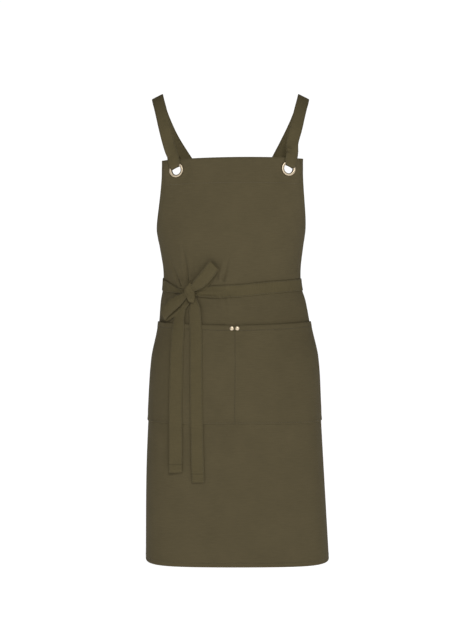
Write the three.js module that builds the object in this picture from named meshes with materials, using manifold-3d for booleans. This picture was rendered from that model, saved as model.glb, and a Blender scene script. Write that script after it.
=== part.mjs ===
// A cross back apron in olive twill, as it is worn and tied in front.
// Millimetres, +Z up. The front faces -Y and X runs across it. The origin lies midway between the tops of
// the two shoulders that the straps rest on.
// Each piece of cloth is cut flat, as across (from the centre line), out (from the cloth's outer face) and
// down (from the bib's edge), and is then wrapped round the body.

import * as THREE from "three";
import { mergeVertices } from "three/addons/utils/BufferGeometryUtils.js";
import Module from "manifold-3d";

const wasm = await Module();
wasm.setup();

// The flat cloth
const PANEL_LENGTH = 900;
const SKIRT_WIDTH = 750;
const BIB_WIDTH = 338;
const ARMHOLE_DEPTH = 248;
const FACING_DEPTH = 56;
const SIDE_HEM = 11; // the bib's side hems, which the facing ends at
const TWILL = 1.2;
const LAYER_GAP = 0.5; // between cloth and what lies on it

// The pocket
const POCKET_WIDTH = 600;
const POCKET_DEPTH = 216;
const POCKET_DROP = 371; // bib edge to the pocket's top edge

// Straps, ties and bow
const TAPE_WIDTH = 28;
const TAPE = 1.5;
const TIE_DROP = 295.5; // bib edge to the middle of the waist tie, at the front
const KNOT_ACROSS = -97;
const KNOT_DROP = 301.5;
const KNOT_HEIGHT = 44;
const KNOT_WIDTH = 26;
const KNOT_DEPTH = 15;
const LOOP_BULGE = 17;
const UPPER_LOOP = { column: "upper", length: 86, turn: 47.5, skew: 0.18 };
const LOWER_LOOP = { column: "lower", length: 75, turn: 219, skew: 0 };
const LEFT_TAIL = 378;
const RIGHT_TAIL = 399;
const SIDE_LOOP_WIDTH = 16;
const SIDE_LOOP_RISE = 4.65; // over the panel's own place for a tape, where it bridges the tie
const SIDE_LOOP_INSET = 14.4; // from the tie's end

// Metal
const EYELET_OUTER = 33;
const EYELET_HOLE = 19.5;
const EYELET_INSET = 39.5; // from the bib's side edge
const EYELET_DROP = 23.5;
const EYELET_WALL = 1.2;
const FLANGE_RISE = 2.1;
const WASHER_RISE = 1.5; // behind the cloth
const WASHER_OUTER = 29.6;
const RIVET_CAP = 10;
const RIVET_RISE = 2.2;
const RIVET_SHANK = 3;
const BURR_OUTER = 8; // the rivet's washer behind the cloth
const BURR_RISE = 0.9;
const RIVET_PITCH = 12;
const RIVET_DROP = 6.5; // below the pocket's top edge
const METAL_GAP = 0.3;

// The body that the apron hangs on
const SHOULDER_DROP = 153.5; // top of the shoulders to the bib's edge
const HEM_SPAN = 417; // side to side
const FRONT_REACH = 137; // shoulder line to the front of the hem
const BACK_REACH = 134;
const SHOULDER_SPAN = 338; // between the middles of the two straps
const STRAP_SWAY = -4.5; // how far to the right of the bib's middle the straps lie
const SWAY = 11; // how far the hem swings to the right
const HIP_LIFT = 8; // how far the hips raise the cloth at the sides
const BIB_TILT = 5; // how much higher the bib's right end sits
const FOLD_RISE = 5;
const FOLD_SPREAD = 11;

// Sections of the wrapped cloth from the bib's edge (0) to the hem (1): width is a share of the hem's span,
// front and back of their reach, sway and lift of theirs, and square is 0 for an ellipse and more for a
// section with a flatter front and rounded corners
const SECTIONS = [
  { at: 0.0, width: 0.94, front: 0.85, back: 0.88, sway: 0, lift: 0, square: 0 },
  { at: 0.06, width: 0.903, front: 0.875, back: 0.885, sway: -0.05, lift: 0, square: 0 },
  { at: 0.12, width: 0.857, front: 0.875, back: 0.87, sway: -0.15, lift: 0, square: 0 },
  { at: 0.17, width: 0.824, front: 0.867, back: 0.85, sway: -0.28, lift: 0, square: 0 },
  { at: 0.22, width: 0.788, front: 0.85, back: 0.81, sway: -0.2, lift: 0.3, square: 0 },
  { at: 0.28, width: 0.756, front: 0.825, back: 0.76, sway: -0.1, lift: 0.8, square: 0 },
  { at: 0.325, width: 0.762, front: 0.822, back: 0.755, sway: -0.04, lift: 1, square: 0 },
  { at: 0.36, width: 0.797, front: 0.85, back: 0.78, sway: 0.15, lift: 1, square: 0 },
  { at: 0.43, width: 0.84, front: 0.91, back: 0.86, sway: 0.45, lift: 0.9, square: 0.05 },
  { at: 0.5, width: 0.909, front: 0.945, back: 0.93, sway: 0.5, lift: 0.5, square: 0.15 },
  { at: 0.62, width: 0.942, front: 0.972, back: 0.98, sway: 0.45, lift: 0.1, square: 0.25 },
  { at: 0.78, width: 0.974, front: 0.987, back: 0.99, sway: 0.55, lift: 0, square: 0.32 },
  { at: 1.0, width: 1.004, front: 1.0, back: 1.0, sway: 1.0, lift: 0, square: 0.34 },
];

// Folds of the cloth, each from its deep end to where it fades: across is a share of half the skirt's width,
// down of the panel's length, rise and spread of the usual fold's
const FOLDS = [
  { across: -0.32, down: 0.315, toAcross: -0.45, toDown: 0.25, rise: 0.9, spread: 0.9 },
  { across: -0.29, down: 0.312, toAcross: -0.36, toDown: 0.27, rise: -0.5, spread: 0.7 },
  { across: -0.265, down: 0.305, toAcross: -0.315, toDown: 0.21, rise: 0.7, spread: 1.1 },
  { across: -0.03, down: 0.31, toAcross: 0.015, toDown: 0.225, rise: 0.5, spread: 1.1 },
  { across: -0.03, down: 0.35, toAcross: -0.02, toDown: 0.4, rise: 0.5, spread: 1.1 },
  { across: 0.44, down: 0.175, toAcross: 0.35, toDown: 0.1, rise: 0.5, spread: 1.3 },
  { across: 0.45, down: 0.29, toAcross: 0.43, toDown: 0.2, rise: 0.5, spread: 1.1 },
];

// Places where the flat cloth's grid changes its step, and how many cells it has up to there
const PANEL_COLUMNS = [
  { to: -POCKET_WIDTH / 2, cells: 4 },
  { to: -BIB_WIDTH / 2, cells: 6 },
  { to: -SKIRT_WIDTH / 12, cells: 8 },
  { to: BIB_WIDTH / 2, cells: 12 },
  { to: POCKET_WIDTH / 2, cells: 6 },
  { to: SKIRT_WIDTH / 2, cells: 4 },
];
const PANEL_ROWS = [
  { to: FACING_DEPTH, cells: 3 },
  { to: 0.78 * TIE_DROP, cells: 6 },
  { to: POCKET_DROP, cells: 9 },
  { to: POCKET_DROP + POCKET_DEPTH, cells: 6 },
  { to: PANEL_LENGTH, cells: 5 },
];

// A shoulder strap from the bib's edge over the shoulder: out is a share of half the shoulders' span, reach
// of the body's reach to the front (negative) or the back, and drop of the shoulder's height over the
// bib's edge. facing turns from the front (0) over the top (90) to the back (180), and tilt leans it outward
const STRAP_ROUTE = [
  { out: 0.815, reach: -0.605, drop: 0.78, facing: 4, tilt: -0.2 },
  { out: 0.868, reach: -0.56, drop: 0.55, facing: 15, tilt: 0 },
  { out: 0.922, reach: -0.44, drop: 0.3, facing: 35, tilt: 0.2 },
  { out: 0.968, reach: -0.27, drop: 0.11, facing: 58, tilt: 0.4 },
  { out: 0.99, reach: -0.09, drop: 0.015, facing: 80, tilt: 0.5 },
  { out: 1.0, reach: 0.09, drop: 0.005, facing: 98, tilt: 0.5 },
  { out: 0.985, reach: 0.29, drop: 0.08, facing: 122, tilt: 0.4 },
  { out: 0.93, reach: 0.5, drop: 0.26, facing: 145, tilt: 0.3 },
  { out: 0.8, reach: 0.7, drop: 0.56, facing: 165, tilt: 0.15 },
];

// The end of a strap that runs through its eyelet and is sewn to its own back, in the eyelet's frame: up
// towards the shoulder and out from the cloth, in shares of the hole's radius, for the middle and the
// edges of the tape, whose half width is a share of half the tape's. twist drops its outer edge and
// raises its inner one
const STRAP_TURN = [
  { middleUp: 4.6, middleOut: -0.03, edgeUp: 4.6, edgeOut: -0.03, twist: 0, half: 1 },
  { middleUp: 3.4, middleOut: -0.28, edgeUp: 3.4, edgeOut: -0.28, twist: 0, half: 1 },
  { middleUp: 2.4, middleOut: -0.7, edgeUp: 2.4, edgeOut: -0.7, twist: 0, half: 1 },
  { middleUp: 1.55, middleOut: -0.76, edgeUp: 1.45, edgeOut: -0.76, twist: 0.05, half: 0.98 },
  { middleUp: 1.02, middleOut: -0.74, edgeUp: 0.85, edgeOut: -0.76, twist: 0.12, half: 0.86 },
  { middleUp: 0.8, middleOut: -0.58, edgeUp: 0.52, edgeOut: -0.7, twist: 0.18, half: 0.68 },
  { middleUp: 0.72, middleOut: -0.3, edgeUp: 0.3, edgeOut: -0.5, twist: 0.18, half: 0.48 },
  { middleUp: 0.7, middleOut: -0.08, edgeUp: 0.28, edgeOut: -0.1, twist: 0.18, half: 0.47 },
  { middleUp: 0.72, middleOut: 0.14, edgeUp: 0.3, edgeOut: 0.22, twist: 0.18, half: 0.48 },
  { middleUp: 0.82, middleOut: 0.36, edgeUp: 0.54, edgeOut: 0.43, twist: 0.22, half: 0.7 },
  { middleUp: 1.05, middleOut: 0.48, edgeUp: 0.86, edgeOut: 0.48, twist: 0.2, half: 0.9 },
  { middleUp: 1.55, middleOut: 0.48, edgeUp: 1.42, edgeOut: 0.48, twist: 0.1, half: 1 },
  { middleUp: 2.4, middleOut: 0.44, edgeUp: 2.4, edgeOut: 0.44, twist: 0, half: 1 },
  { middleUp: 3.4, middleOut: 0.28, edgeUp: 3.4, edgeOut: 0.28, twist: 0, half: 1 },
];

// The waist ties from the side loops to the knot: across is a share of the way from the knot to the side
// loop, raise is how far the tape's middle lies above its place at the front, in tape widths, and out is
// in tapes over the cloth
const RIGHT_TIE = [
  { across: 1, raise: 1.05, out: 1.8, half: 1 },
  { across: 0.92, raise: 1.02, out: 1.6, half: 1 },
  { across: 0.84, raise: 0.75, out: 0.12, half: 1 },
  { across: 0.68, raise: 0.36, out: 0.12, half: 1 },
  { across: 0.38, raise: 0.2, out: 0.12, half: 1 },
  { across: 0.24, raise: 0.03, out: 0.12, half: 1 },
  { across: 0.12, raise: -0.07, out: 0.12, half: 0.98 },
  { across: 0.05, raise: -0.14, out: 0.3, half: 0.75 },
  { across: 0, raise: -0.2, out: 0.8, half: 0.45 },
];
const LEFT_TIE = [
  { across: 1, raise: 1.05, out: 1.8, half: 1 },
  { across: 0.87, raise: 1.02, out: 1.6, half: 1 },
  { across: 0.75, raise: 0.8, out: 0.12, half: 1 },
  { across: 0.55, raise: 0.52, out: 0.12, half: 1 },
  { across: 0.4, raise: 0.36, out: 0.12, half: 1 },
  { across: 0.28, raise: 0.22, out: 0.3, half: 1 },
  { across: 0.2, raise: 0.2, out: 0.6, half: 0.9 },
  { across: 0.13, raise: 0.02, out: 0.8, half: 0.66 },
  { across: 0.08, raise: -0.13, out: 0.8, half: 0.44 },
  { across: 0, raise: -0.2, out: 0.8, half: 0.36 },
];

// A loop of the bow, out along its front layer and back along the rear one: along is a share of its length,
// out of its bulge, half of half the tape, and upper and lower say how far each loop's layer lies aside,
// clockwise, in tape widths
const BOW_LOOP = [
  { along: 0.0, out: 0.62, upper: 0, lower: 0, half: 0.4 },
  { along: 0.16, out: 0.8, upper: 0, lower: -0.04, half: 0.6 },
  { along: 0.36, out: 1, upper: 0.02, lower: -0.06, half: 0.95 },
  { along: 0.6, out: 1, upper: 0.03, lower: -0.05, half: 1 },
  { along: 0.82, out: 0.87, upper: 0.03, lower: -0.06, half: 1 },
  { along: 0.95, out: 0.75, upper: 0.02, lower: -0.08, half: 1 },
  { along: 1.0, out: 0.6, upper: 0.03, lower: -0.1, half: 1 },
  { along: 0.95, out: 0.45, upper: 0.06, lower: -0.14, half: 1 },
  { along: 0.82, out: 0.38, upper: 0.05, lower: -0.2, half: 1 },
  { along: 0.6, out: 0.34, upper: -0.06, lower: -0.26, half: 0.97 },
  { along: 0.36, out: 0.32, upper: -0.22, lower: -0.26, half: 0.86 },
  { along: 0.16, out: 0.32, upper: -0.16, lower: -0.12, half: 0.55 },
  { along: 0.0, out: 0.32, upper: 0, lower: 0, half: 0.4 },
];

// The hanging ends: down is a share of the tail's length, aside of the tape's width, out is in tapes, and
// lean is how far the left edge stands off and the right edge stands in, in tape widths
const LEFT_TAIL_ROWS = [
  { down: 0, aside: -0.1, out: 1.6, lean: 0, half: 0.5 },
  { down: 0.02, aside: -0.4, out: 1.6, lean: 0, half: 0.7 },
  { down: 0.05, aside: -0.86, out: 1.7, lean: 0, half: 0.98 },
  { down: 0.11, aside: -1.05, out: 1.8, lean: 0, half: 1 },
  { down: 0.18, aside: -1.08, out: 3.4, lean: 0.1, half: 1 },
  { down: 0.26, aside: -1.11, out: 4, lean: 0.15, half: 1 },
  { down: 0.55, aside: -1.13, out: 4, lean: 0.15, half: 1 },
  { down: 0.78, aside: -1.14, out: 4, lean: 0.15, half: 1 },
  { down: 1, aside: -1.15, out: 3.8, lean: 0.15, half: 1 },
];
const RIGHT_TAIL_ROWS = [
  { down: 0, aside: 0.34, out: 3.2, lean: 0, half: 0.5 },
  { down: 0.02, aside: 0.39, out: 3.2, lean: 0, half: 0.66 },
  { down: 0.05, aside: 0.4, out: 3.1, lean: 0, half: 0.9 },
  { down: 0.1, aside: 0.38, out: 2.6, lean: 0.01, half: 1 },
  { down: 0.3, aside: 0.41, out: 1.9, lean: 0.02, half: 1 },
  { down: 0.55, aside: 0.46, out: 1.9, lean: 0.02, half: 1 },
  { down: 0.78, aside: 0.51, out: 1.9, lean: 0.02, half: 1 },
  { down: 1, aside: 0.56, out: 1.7, lean: 0.02, half: 1 },
];

// A side loop from its upper foot to its lower one: up is in tape widths from the middle of the tie, and
// over is 1 where it bridges the tie and 0 where it is sewn to the panel
const SIDE_LOOP = [
  { up: 0.95, over: 0 },
  { up: 0.72, over: 0 },
  { up: 0.6, over: 1 },
  { up: 0.3, over: 1 },
  { up: 0, over: 1 },
  { up: -0.3, over: 1 },
  { up: -0.6, over: 1 },
  { up: -0.72, over: 0 },
  { up: -0.95, over: 0 },
];

// The knot from its foot (-0.5) to its top (0.5): half is a share of half its width, aside of its width
const KNOT_ROWS = [
  { up: -0.5, half: 0.3, aside: 0.06, out: 0.45 },
  { up: -0.36, half: 0.8, aside: 0.06, out: 0.85 },
  { up: -0.12, half: 1, aside: 0.05, out: 1 },
  { up: 0.1, half: 0.98, aside: 0, out: 1 },
  { up: 0.32, half: 0.62, aside: -0.02, out: 0.85 },
  { up: 0.5, half: 0.2, aside: 0, out: 0.5 },
];
const KNOT_SIDES = 12;

// An eyelet's crown from its rim to its hole: inward is a share of the flange's width, rise of its rise
const EYELET_CROWN = [
  { inward: 0, rise: 0 },
  { inward: 0.08, rise: 0.7 },
  { inward: 0.45, rise: 1 },
  { inward: 0.83, rise: 0.85 },
  { inward: 1, rise: 0.2 },
];

// A rivet's cap from its rim to its middle, in the same shares
const RIVET_DOME = [
  { inward: 0, rise: 0 },
  { inward: 0.06, rise: 0.4 },
  { inward: 0.34, rise: 0.8 },
  { inward: 1, rise: 1 },
];

const olive = new THREE.MeshStandardMaterial({ color: 0x565039, roughness: 0.92, metalness: 0 });
const oliveTape = new THREE.MeshStandardMaterial({ color: 0x58513a, roughness: 0.9, metalness: 0 });
const brass = new THREE.MeshStandardMaterial({ color: 0xb5a27c, roughness: 0.35, metalness: 1 });

// Every column of a table at any place between its rows, on a smooth curve through the rows' values
function between(table, key, value) {
  const last = table.length - 1;
  const rising = table[last][key] > table[0][key] ? 1 : -1;
  let low = 0;
  while (low < last - 1 && (value - table[low + 1][key]) * rising > 0) low += 1;
  const high = low + 1;
  const span = table[high][key] - table[low][key];
  const t = THREE.MathUtils.clamp((value - table[low][key]) / span, 0, 1);
  const slope = (column, k) => {
    const a = table[Math.max(k - 1, 0)];
    const b = table[Math.min(k + 1, last)];
    return ((b[column] - a[column]) / (b[key] - a[key])) * span;
  };
  const result = {};
  for (const column of Object.keys(table[0])) {
    const start = table[low][column];
    const end = table[high][column];
    const h = t * t * (3 - 2 * t);
    const lean = t * (1 - t) * (1 - t) * slope(column, low) - t * t * (1 - t) * slope(column, high);
    result[column] = start + (end - start) * h + lean;
  }
  return result;
}

// A table with more rows, each taken from a smooth curve through the given ones
function refined(table, steps) {
  const numbered = table.map((row, index) => ({ index, ...row }));
  const rows = [];
  for (let k = 0; k <= (table.length - 1) * steps; k += 1) rows.push(between(numbered, "index", k / steps));
  return rows;
}

// A section's shape at an angle round from the front: shares of its half width and depth, and how fast
// they change
function sectionShape(angle, square) {
  const sine = Math.sin(angle);
  const cosine = Math.cos(angle);
  return {
    x: sine * (1 + square * cosine ** 2),
    y: cosine * (1 + square * sine ** 2),
    fastX: cosine * (1 + square * (cosine ** 2 - 2 * sine ** 2)),
    fastY: sine * (1 + square * (sine ** 2 - 2 * cosine ** 2)),
  };
}

// The angle round a section that a length of cloth reaches from its front
const ANGLE_STEP = Math.PI / 150;
function wrapAngle(length, { half, depth, square }) {
  let angle = 0;
  let left = length;
  for (;;) {
    const { fastX, fastY } = sectionShape(angle + ANGLE_STEP / 2, square);
    const piece = ANGLE_STEP * Math.hypot(half * fastX, depth * fastY);
    if (piece >= left) return angle + (ANGLE_STEP * left) / piece;
    left -= piece;
    angle += ANGLE_STEP;
  }
}

// The body's section at a level: half its width and depth, where its middle lies, its sway and its lift
function sectionAt(down) {
  const { width, ...row } = between(SECTIONS, "at", down / PANEL_LENGTH);
  const front = row.front * FRONT_REACH;
  const back = row.back * BACK_REACH;
  return { ...row, half: (width * HEM_SPAN) / 2, depth: (front + back) / 2, middle: (back - front) / 2 };
}

// The body's surface at an angle round from the front, without folds
function surfacePoint(angle, down) {
  const { half, depth, middle, square, ...row } = sectionAt(down);
  const shape = sectionShape(angle, square);
  const x = half * shape.x + row.sway * SWAY;
  const lift = row.lift * HIP_LIFT * Math.sin(angle) ** 2;
  const level = Math.max(0, 1 - down / TIE_DROP);
  const tilt = (BIB_TILT * level * x) / BIB_WIDTH;
  return new THREE.Vector3(x, middle - depth * shape.y, -SHOULDER_DROP - down + lift + tilt);
}

// The same at a length of cloth across from the front
function bodyPoint(across, down) {
  return surfacePoint(Math.sign(across) * wrapAngle(Math.abs(across), sectionAt(down)), down);
}

// The surface and the way out of it at an angle
const PROBE = 1.5; // mm between a point and its neighbours
const TURN_PROBE = 0.01;
function bodyAt(angle, down) {
  const side = surfacePoint(angle + TURN_PROBE, down).sub(surfacePoint(angle - TURN_PROBE, down));
  const fall = surfacePoint(angle, down + PROBE).sub(surfacePoint(angle, down - PROBE));
  const out = new THREE.Vector3().crossVectors(fall, side).normalize();
  return { point: surfacePoint(angle, down), out };
}

// How far the folds raise the cloth
function foldRise(across, down) {
  let rise = 0;
  for (const fold of FOLDS) {
    const from = new THREE.Vector2((fold.across * SKIRT_WIDTH) / 2, fold.down * PANEL_LENGTH);
    const to = new THREE.Vector2((fold.toAcross * SKIRT_WIDTH) / 2, fold.toDown * PANEL_LENGTH);
    const run = to.clone().sub(from);
    const here = new THREE.Vector2(across, down).sub(from);
    const along = THREE.MathUtils.clamp(here.dot(run) / run.lengthSq(), 0, 1);
    const away = here.distanceTo(run.multiplyScalar(along)) / (fold.spread * FOLD_SPREAD);
    rise += fold.rise * FOLD_RISE * (1 - along) ** 2 * Math.exp(-away * away);
  }
  return rise;
}

// The cloth's frame at a flat place: the body point raised by the folds, the ways across and down, and out
function clothFrame(across, down) {
  const point = bodyPoint(across, down);
  const side = bodyPoint(across + PROBE, down).sub(bodyPoint(across - PROBE, down)).normalize();
  const fall = bodyPoint(across, down + PROBE).sub(bodyPoint(across, down - PROBE)).normalize();
  const out = new THREE.Vector3().crossVectors(fall, side).normalize();
  side.crossVectors(out, fall);
  return { point: point.addScaledVector(out, foldRise(across, down)), side, fall, out };
}

const eyeletAcross = BIB_WIDTH / 2 - EYELET_INSET;
const eyeletFrames = [-1, 1].map((hand) => ({
  across: hand * eyeletAcross,
  ...clothFrame(hand * eyeletAcross, EYELET_DROP),
}));

// A flat place, taken to the wrapped cloth. Each eyelet holds the cloth flat as far as the first share of
// its own radius, and the cloth follows the body again from the second one
const HELD_FLAT = 1.5;
const HELD_NO_MORE = 2.6;
function wrap(across, out, down) {
  const frame = clothFrame(across, down);
  const point = frame.point.addScaledVector(frame.out, out);
  for (const eyelet of eyeletFrames) {
    const aside = across - eyelet.across;
    const below = down - EYELET_DROP;
    const away = (2 * Math.hypot(aside, below)) / EYELET_OUTER;
    const level = eyelet.point.clone();
    level.addScaledVector(eyelet.side, aside);
    level.addScaledVector(eyelet.fall, below);
    level.addScaledVector(eyelet.out, out);
    point.lerp(level, 1 - THREE.MathUtils.smoothstep(away, HELD_FLAT, HELD_NO_MORE));
  }
  return point;
}

// A closed geometry as a solid that can be cut
function solidOf(geometry) {
  const bare = geometry.clone();
  bare.deleteAttribute("normal");
  bare.deleteAttribute("uv");
  const merged = mergeVertices(bare, 1e-4);
  const triVerts = new Uint32Array(merged.index.array);
  return new wasm.Manifold(
    new wasm.Mesh({ numProp: 3, vertProperties: merged.attributes.position.array, triVerts }),
  );
}

function geometryOf(solid) {
  const mesh = solid.getMesh();
  const points = new Float32Array(mesh.numVert * 3);
  for (let k = 0; k < mesh.numVert; k += 1) {
    points.set(mesh.vertProperties.subarray(k * mesh.numProp, k * mesh.numProp + 3), 3 * k);
  }
  return new THREE.BufferGeometry()
    .setAttribute("position", new THREE.BufferAttribute(points, 3))
    .setIndex(new THREE.BufferAttribute(mesh.triVerts, 1));
}

// The grid's places from a start through each zone, kept to those between two limits
function gridPlaces(start, zones, low, high) {
  const places = [start];
  for (const zone of zones) {
    const from = places[places.length - 1];
    for (let k = 1; k <= zone.cells; k += 1) places.push(from + ((zone.to - from) * k) / zone.cells);
  }
  const slack = 1e-6;
  return places.filter((place) => place > low - slack && place < high + slack);
}

// A closed solid from rings of points, each ring running the same way round, with flat ends
function lofted(rings) {
  const sides = rings[0].length;
  const points = rings.flat().flatMap((point) => point.toArray());
  const index = [];
  const quad = (a, b, c, d) => index.push(a, c, b, a, d, c);
  for (let r = 0; r + 1 < rings.length; r += 1) {
    for (let k = 0; k < sides; k += 1) {
      const next = (k + 1) % sides;
      const corners = [r * sides + k, r * sides + next, (r + 1) * sides + next, (r + 1) * sides + k];
      // The back of a sheet is split along the same diagonals as its front
      if (k >= sides / 2) corners.push(corners.shift());
      quad(...corners);
    }
  }
  // Each end is a strip between the two halves of its ring
  const end = (rings.length - 1) * sides;
  for (let k = 0; k < sides / 2 - 1; k += 1) {
    const far = sides - 1 - k;
    quad(k, far, far - 1, k + 1);
    quad(end + k, end + k + 1, end + far - 1, end + far);
  }
  return new THREE.BufferGeometry()
    .setAttribute("position", new THREE.Float32BufferAttribute(points, 3))
    .setIndex(index);
}

// A rectangle of flat cloth on the panel's grid, between two distances out
function flatCloth(left, right, top, bottom, inner, outer) {
  const columns = gridPlaces(-SKIRT_WIDTH / 2, PANEL_COLUMNS, left, right);
  const rows = gridPlaces(0, PANEL_ROWS, top, bottom);
  const rings = rows.map((row) => [
    ...columns.map((column) => new THREE.Vector3(column, outer, row)),
    ...columns.toReversed().map((column) => new THREE.Vector3(column, inner, row)),
  ]);
  return lofted(rings);
}

// Flat cloth less its cut-outs, wrapped round the body
function wrapped(flat, cutters) {
  const cut = cutters.reduce((rest, cutter) => rest.subtract(solidOf(cutter)), solidOf(flat));
  const geometry = geometryOf(cut);
  const place = geometry.attributes.position;
  for (let k = 0; k < place.count; k += 1) {
    const point = wrap(place.getX(k), place.getY(k), place.getZ(k));
    place.setXYZ(k, point.x, point.y, point.z);
  }
  return geometry;
}

// A round cutter through flat cloth
const CUTTER_LENGTH = 40;
function holeCutter(radius, across, down, sides) {
  return new THREE.CylinderGeometry(radius, radius, CUTTER_LENGTH, sides).translate(across, 0, down);
}

// The armhole is a quarter of an ellipse about the skirt's uncut corner
const ARMHOLE_SIDES = 64;
function armholeCutter(hand) {
  const reach = (SKIRT_WIDTH - BIB_WIDTH) / 2;
  const cutter = new THREE.CylinderGeometry(1, 1, CUTTER_LENGTH, ARMHOLE_SIDES);
  return cutter.scale(reach, 1, ARMHOLE_DEPTH).translate((hand * SKIRT_WIDTH) / 2, 0, 0);
}

const FACING_INNER = -2 * TWILL - LAYER_GAP;
const POCKET_OUTER = LAYER_GAP + TWILL;
const HOLE_SIDES = 24;
const eyeletCutters = [-1, 1].map((hand) =>
  holeCutter(EYELET_HOLE / 2 + EYELET_WALL + METAL_GAP, hand * eyeletAcross, EYELET_DROP, HOLE_SIDES),
);
const rivetCutters = [-1, 1].map((hand) =>
  holeCutter(RIVET_SHANK / 2 + METAL_GAP, (hand * RIVET_PITCH) / 2, POCKET_DROP + RIVET_DROP, 8),
);

function apronPanel() {
  const flat = flatCloth(-SKIRT_WIDTH / 2, SKIRT_WIDTH / 2, 0, PANEL_LENGTH, -TWILL, 0);
  return wrapped(flat, [armholeCutter(-1), armholeCutter(1), ...eyeletCutters, ...rivetCutters]);
}

function bibFacing() {
  const reach = BIB_WIDTH / 2 - SIDE_HEM;
  const flat = flatCloth(-BIB_WIDTH / 2, BIB_WIDTH / 2, 0, FACING_DEPTH, FACING_INNER, -TWILL - LAYER_GAP);
  const sides = [-1, 1].map((hand) =>
    new THREE.BoxGeometry(SKIRT_WIDTH, CUTTER_LENGTH, PANEL_LENGTH).translate(
      hand * (reach + SKIRT_WIDTH / 2),
      0,
      0,
    ),
  );
  return wrapped(flat, [...sides, ...eyeletCutters]);
}

function pocket() {
  const half = POCKET_WIDTH / 2;
  const flat = flatCloth(-half, half, POCKET_DROP, POCKET_DROP + POCKET_DEPTH, LAYER_GAP, POCKET_OUTER);
  return wrapped(flat, rivetCutters);
}

// A round fitting clamped through the cloth: a closed profile of radius and out, turned about its axis
// and set on the cloth's frame
function fitting(profile, sides, frame) {
  const turned = new THREE.LatheGeometry(
    profile.map(([radius, out]) => new THREE.Vector2(radius, out)),
    sides,
  );
  const basis = new THREE.Matrix4().makeBasis(frame.side, frame.out, frame.fall);
  return turned.applyMatrix4(basis).translate(frame.point.x, frame.point.y, frame.point.z);
}

const EYELET_SIDES = 24;
function eyelet(frame) {
  const hole = EYELET_HOLE / 2;
  const barrel = hole + EYELET_WALL;
  const rim = EYELET_OUTER / 2;
  const back = FACING_INNER - METAL_GAP;
  const crown = EYELET_CROWN.map(({ inward, rise }) => [
    THREE.MathUtils.lerp(rim, hole, inward),
    METAL_GAP + rise * FLANGE_RISE,
  ]);
  const profile = [
    [hole, back - WASHER_RISE],
    [WASHER_OUTER / 2, back - WASHER_RISE],
    [WASHER_OUTER / 2, back],
    [barrel, back],
    [barrel, METAL_GAP],
    ...crown,
    [hole, back - WASHER_RISE],
  ];
  return fitting(profile, EYELET_SIDES, frame);
}

const RIVET_SIDES = 16;
function rivet(hand) {
  const frame = clothFrame((hand * RIVET_PITCH) / 2, POCKET_DROP + RIVET_DROP);
  const cap = RIVET_CAP / 2;
  const shank = RIVET_SHANK / 2;
  const face = POCKET_OUTER + METAL_GAP;
  const back = -TWILL - METAL_GAP;
  const profile = [
    [0, back - BURR_RISE],
    [BURR_OUTER / 2, back - BURR_RISE],
    [BURR_OUTER / 2, back],
    [shank, back],
    [shank, face],
    ...RIVET_DOME.map(({ inward, rise }) => [cap * (1 - inward), face + rise * RIVET_RISE]),
  ];
  return fitting(profile, RIVET_SIDES, frame);
}

// A tape from rows of points across it, each with the way out of its face there
function tape(rows) {
  const rings = rows.map((row) => [
    ...row.map(({ point, out }) => point.clone().addScaledVector(out, TAPE / 2)),
    ...row.toReversed().map(({ point, out }) => point.clone().addScaledVector(out, -TAPE / 2)),
  ]);
  return lofted(rings);
}

// The places across a tape, from one edge (-1) to the other (1)
function acrossTape(cells) {
  return Array.from({ length: cells + 1 }, (_, k) => -1 + (2 * k) / cells);
}

// The frame of the eyelet's cloth, turned so that up points along the strap
const STRAP_LEAN = THREE.MathUtils.degToRad(12);
function turnFrame(hand) {
  const { point, fall, out } = eyeletFrames[hand < 0 ? 0 : 1];
  const up = fall.clone().negate().applyAxisAngle(out, -hand * STRAP_LEAN);
  return { point, up, across: new THREE.Vector3().crossVectors(out, up), out };
}

// How far one strap lifts over the other, by the distance from where they cross. It is full up to one
// distance and none beyond the other, both in tape widths
const CROSSING_NEAR = 0.85;
const CROSSING_FAR = 2.6;
function crossingLift(distance) {
  const away = THREE.MathUtils.smoothstep(distance / TAPE_WIDTH, CROSSING_NEAR, CROSSING_FAR);
  return (TAPE + 2 * LAYER_GAP) * (1 - away);
}

// The straps' run down the back, from a turn about the middle of the back at the bib's level straight to
// the opposite corner of the skirt
const BACK_TURN = 0.5;
const BACK_STEPS = 9;
function backRun(hand, share) {
  const corner = sideCorner(-hand);
  const turn = THREE.MathUtils.lerp(hand * BACK_TURN, corner.turn, share);
  return bodyAt(Math.PI * Math.sign(turn || 1) - turn, share * corner.down);
}

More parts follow.
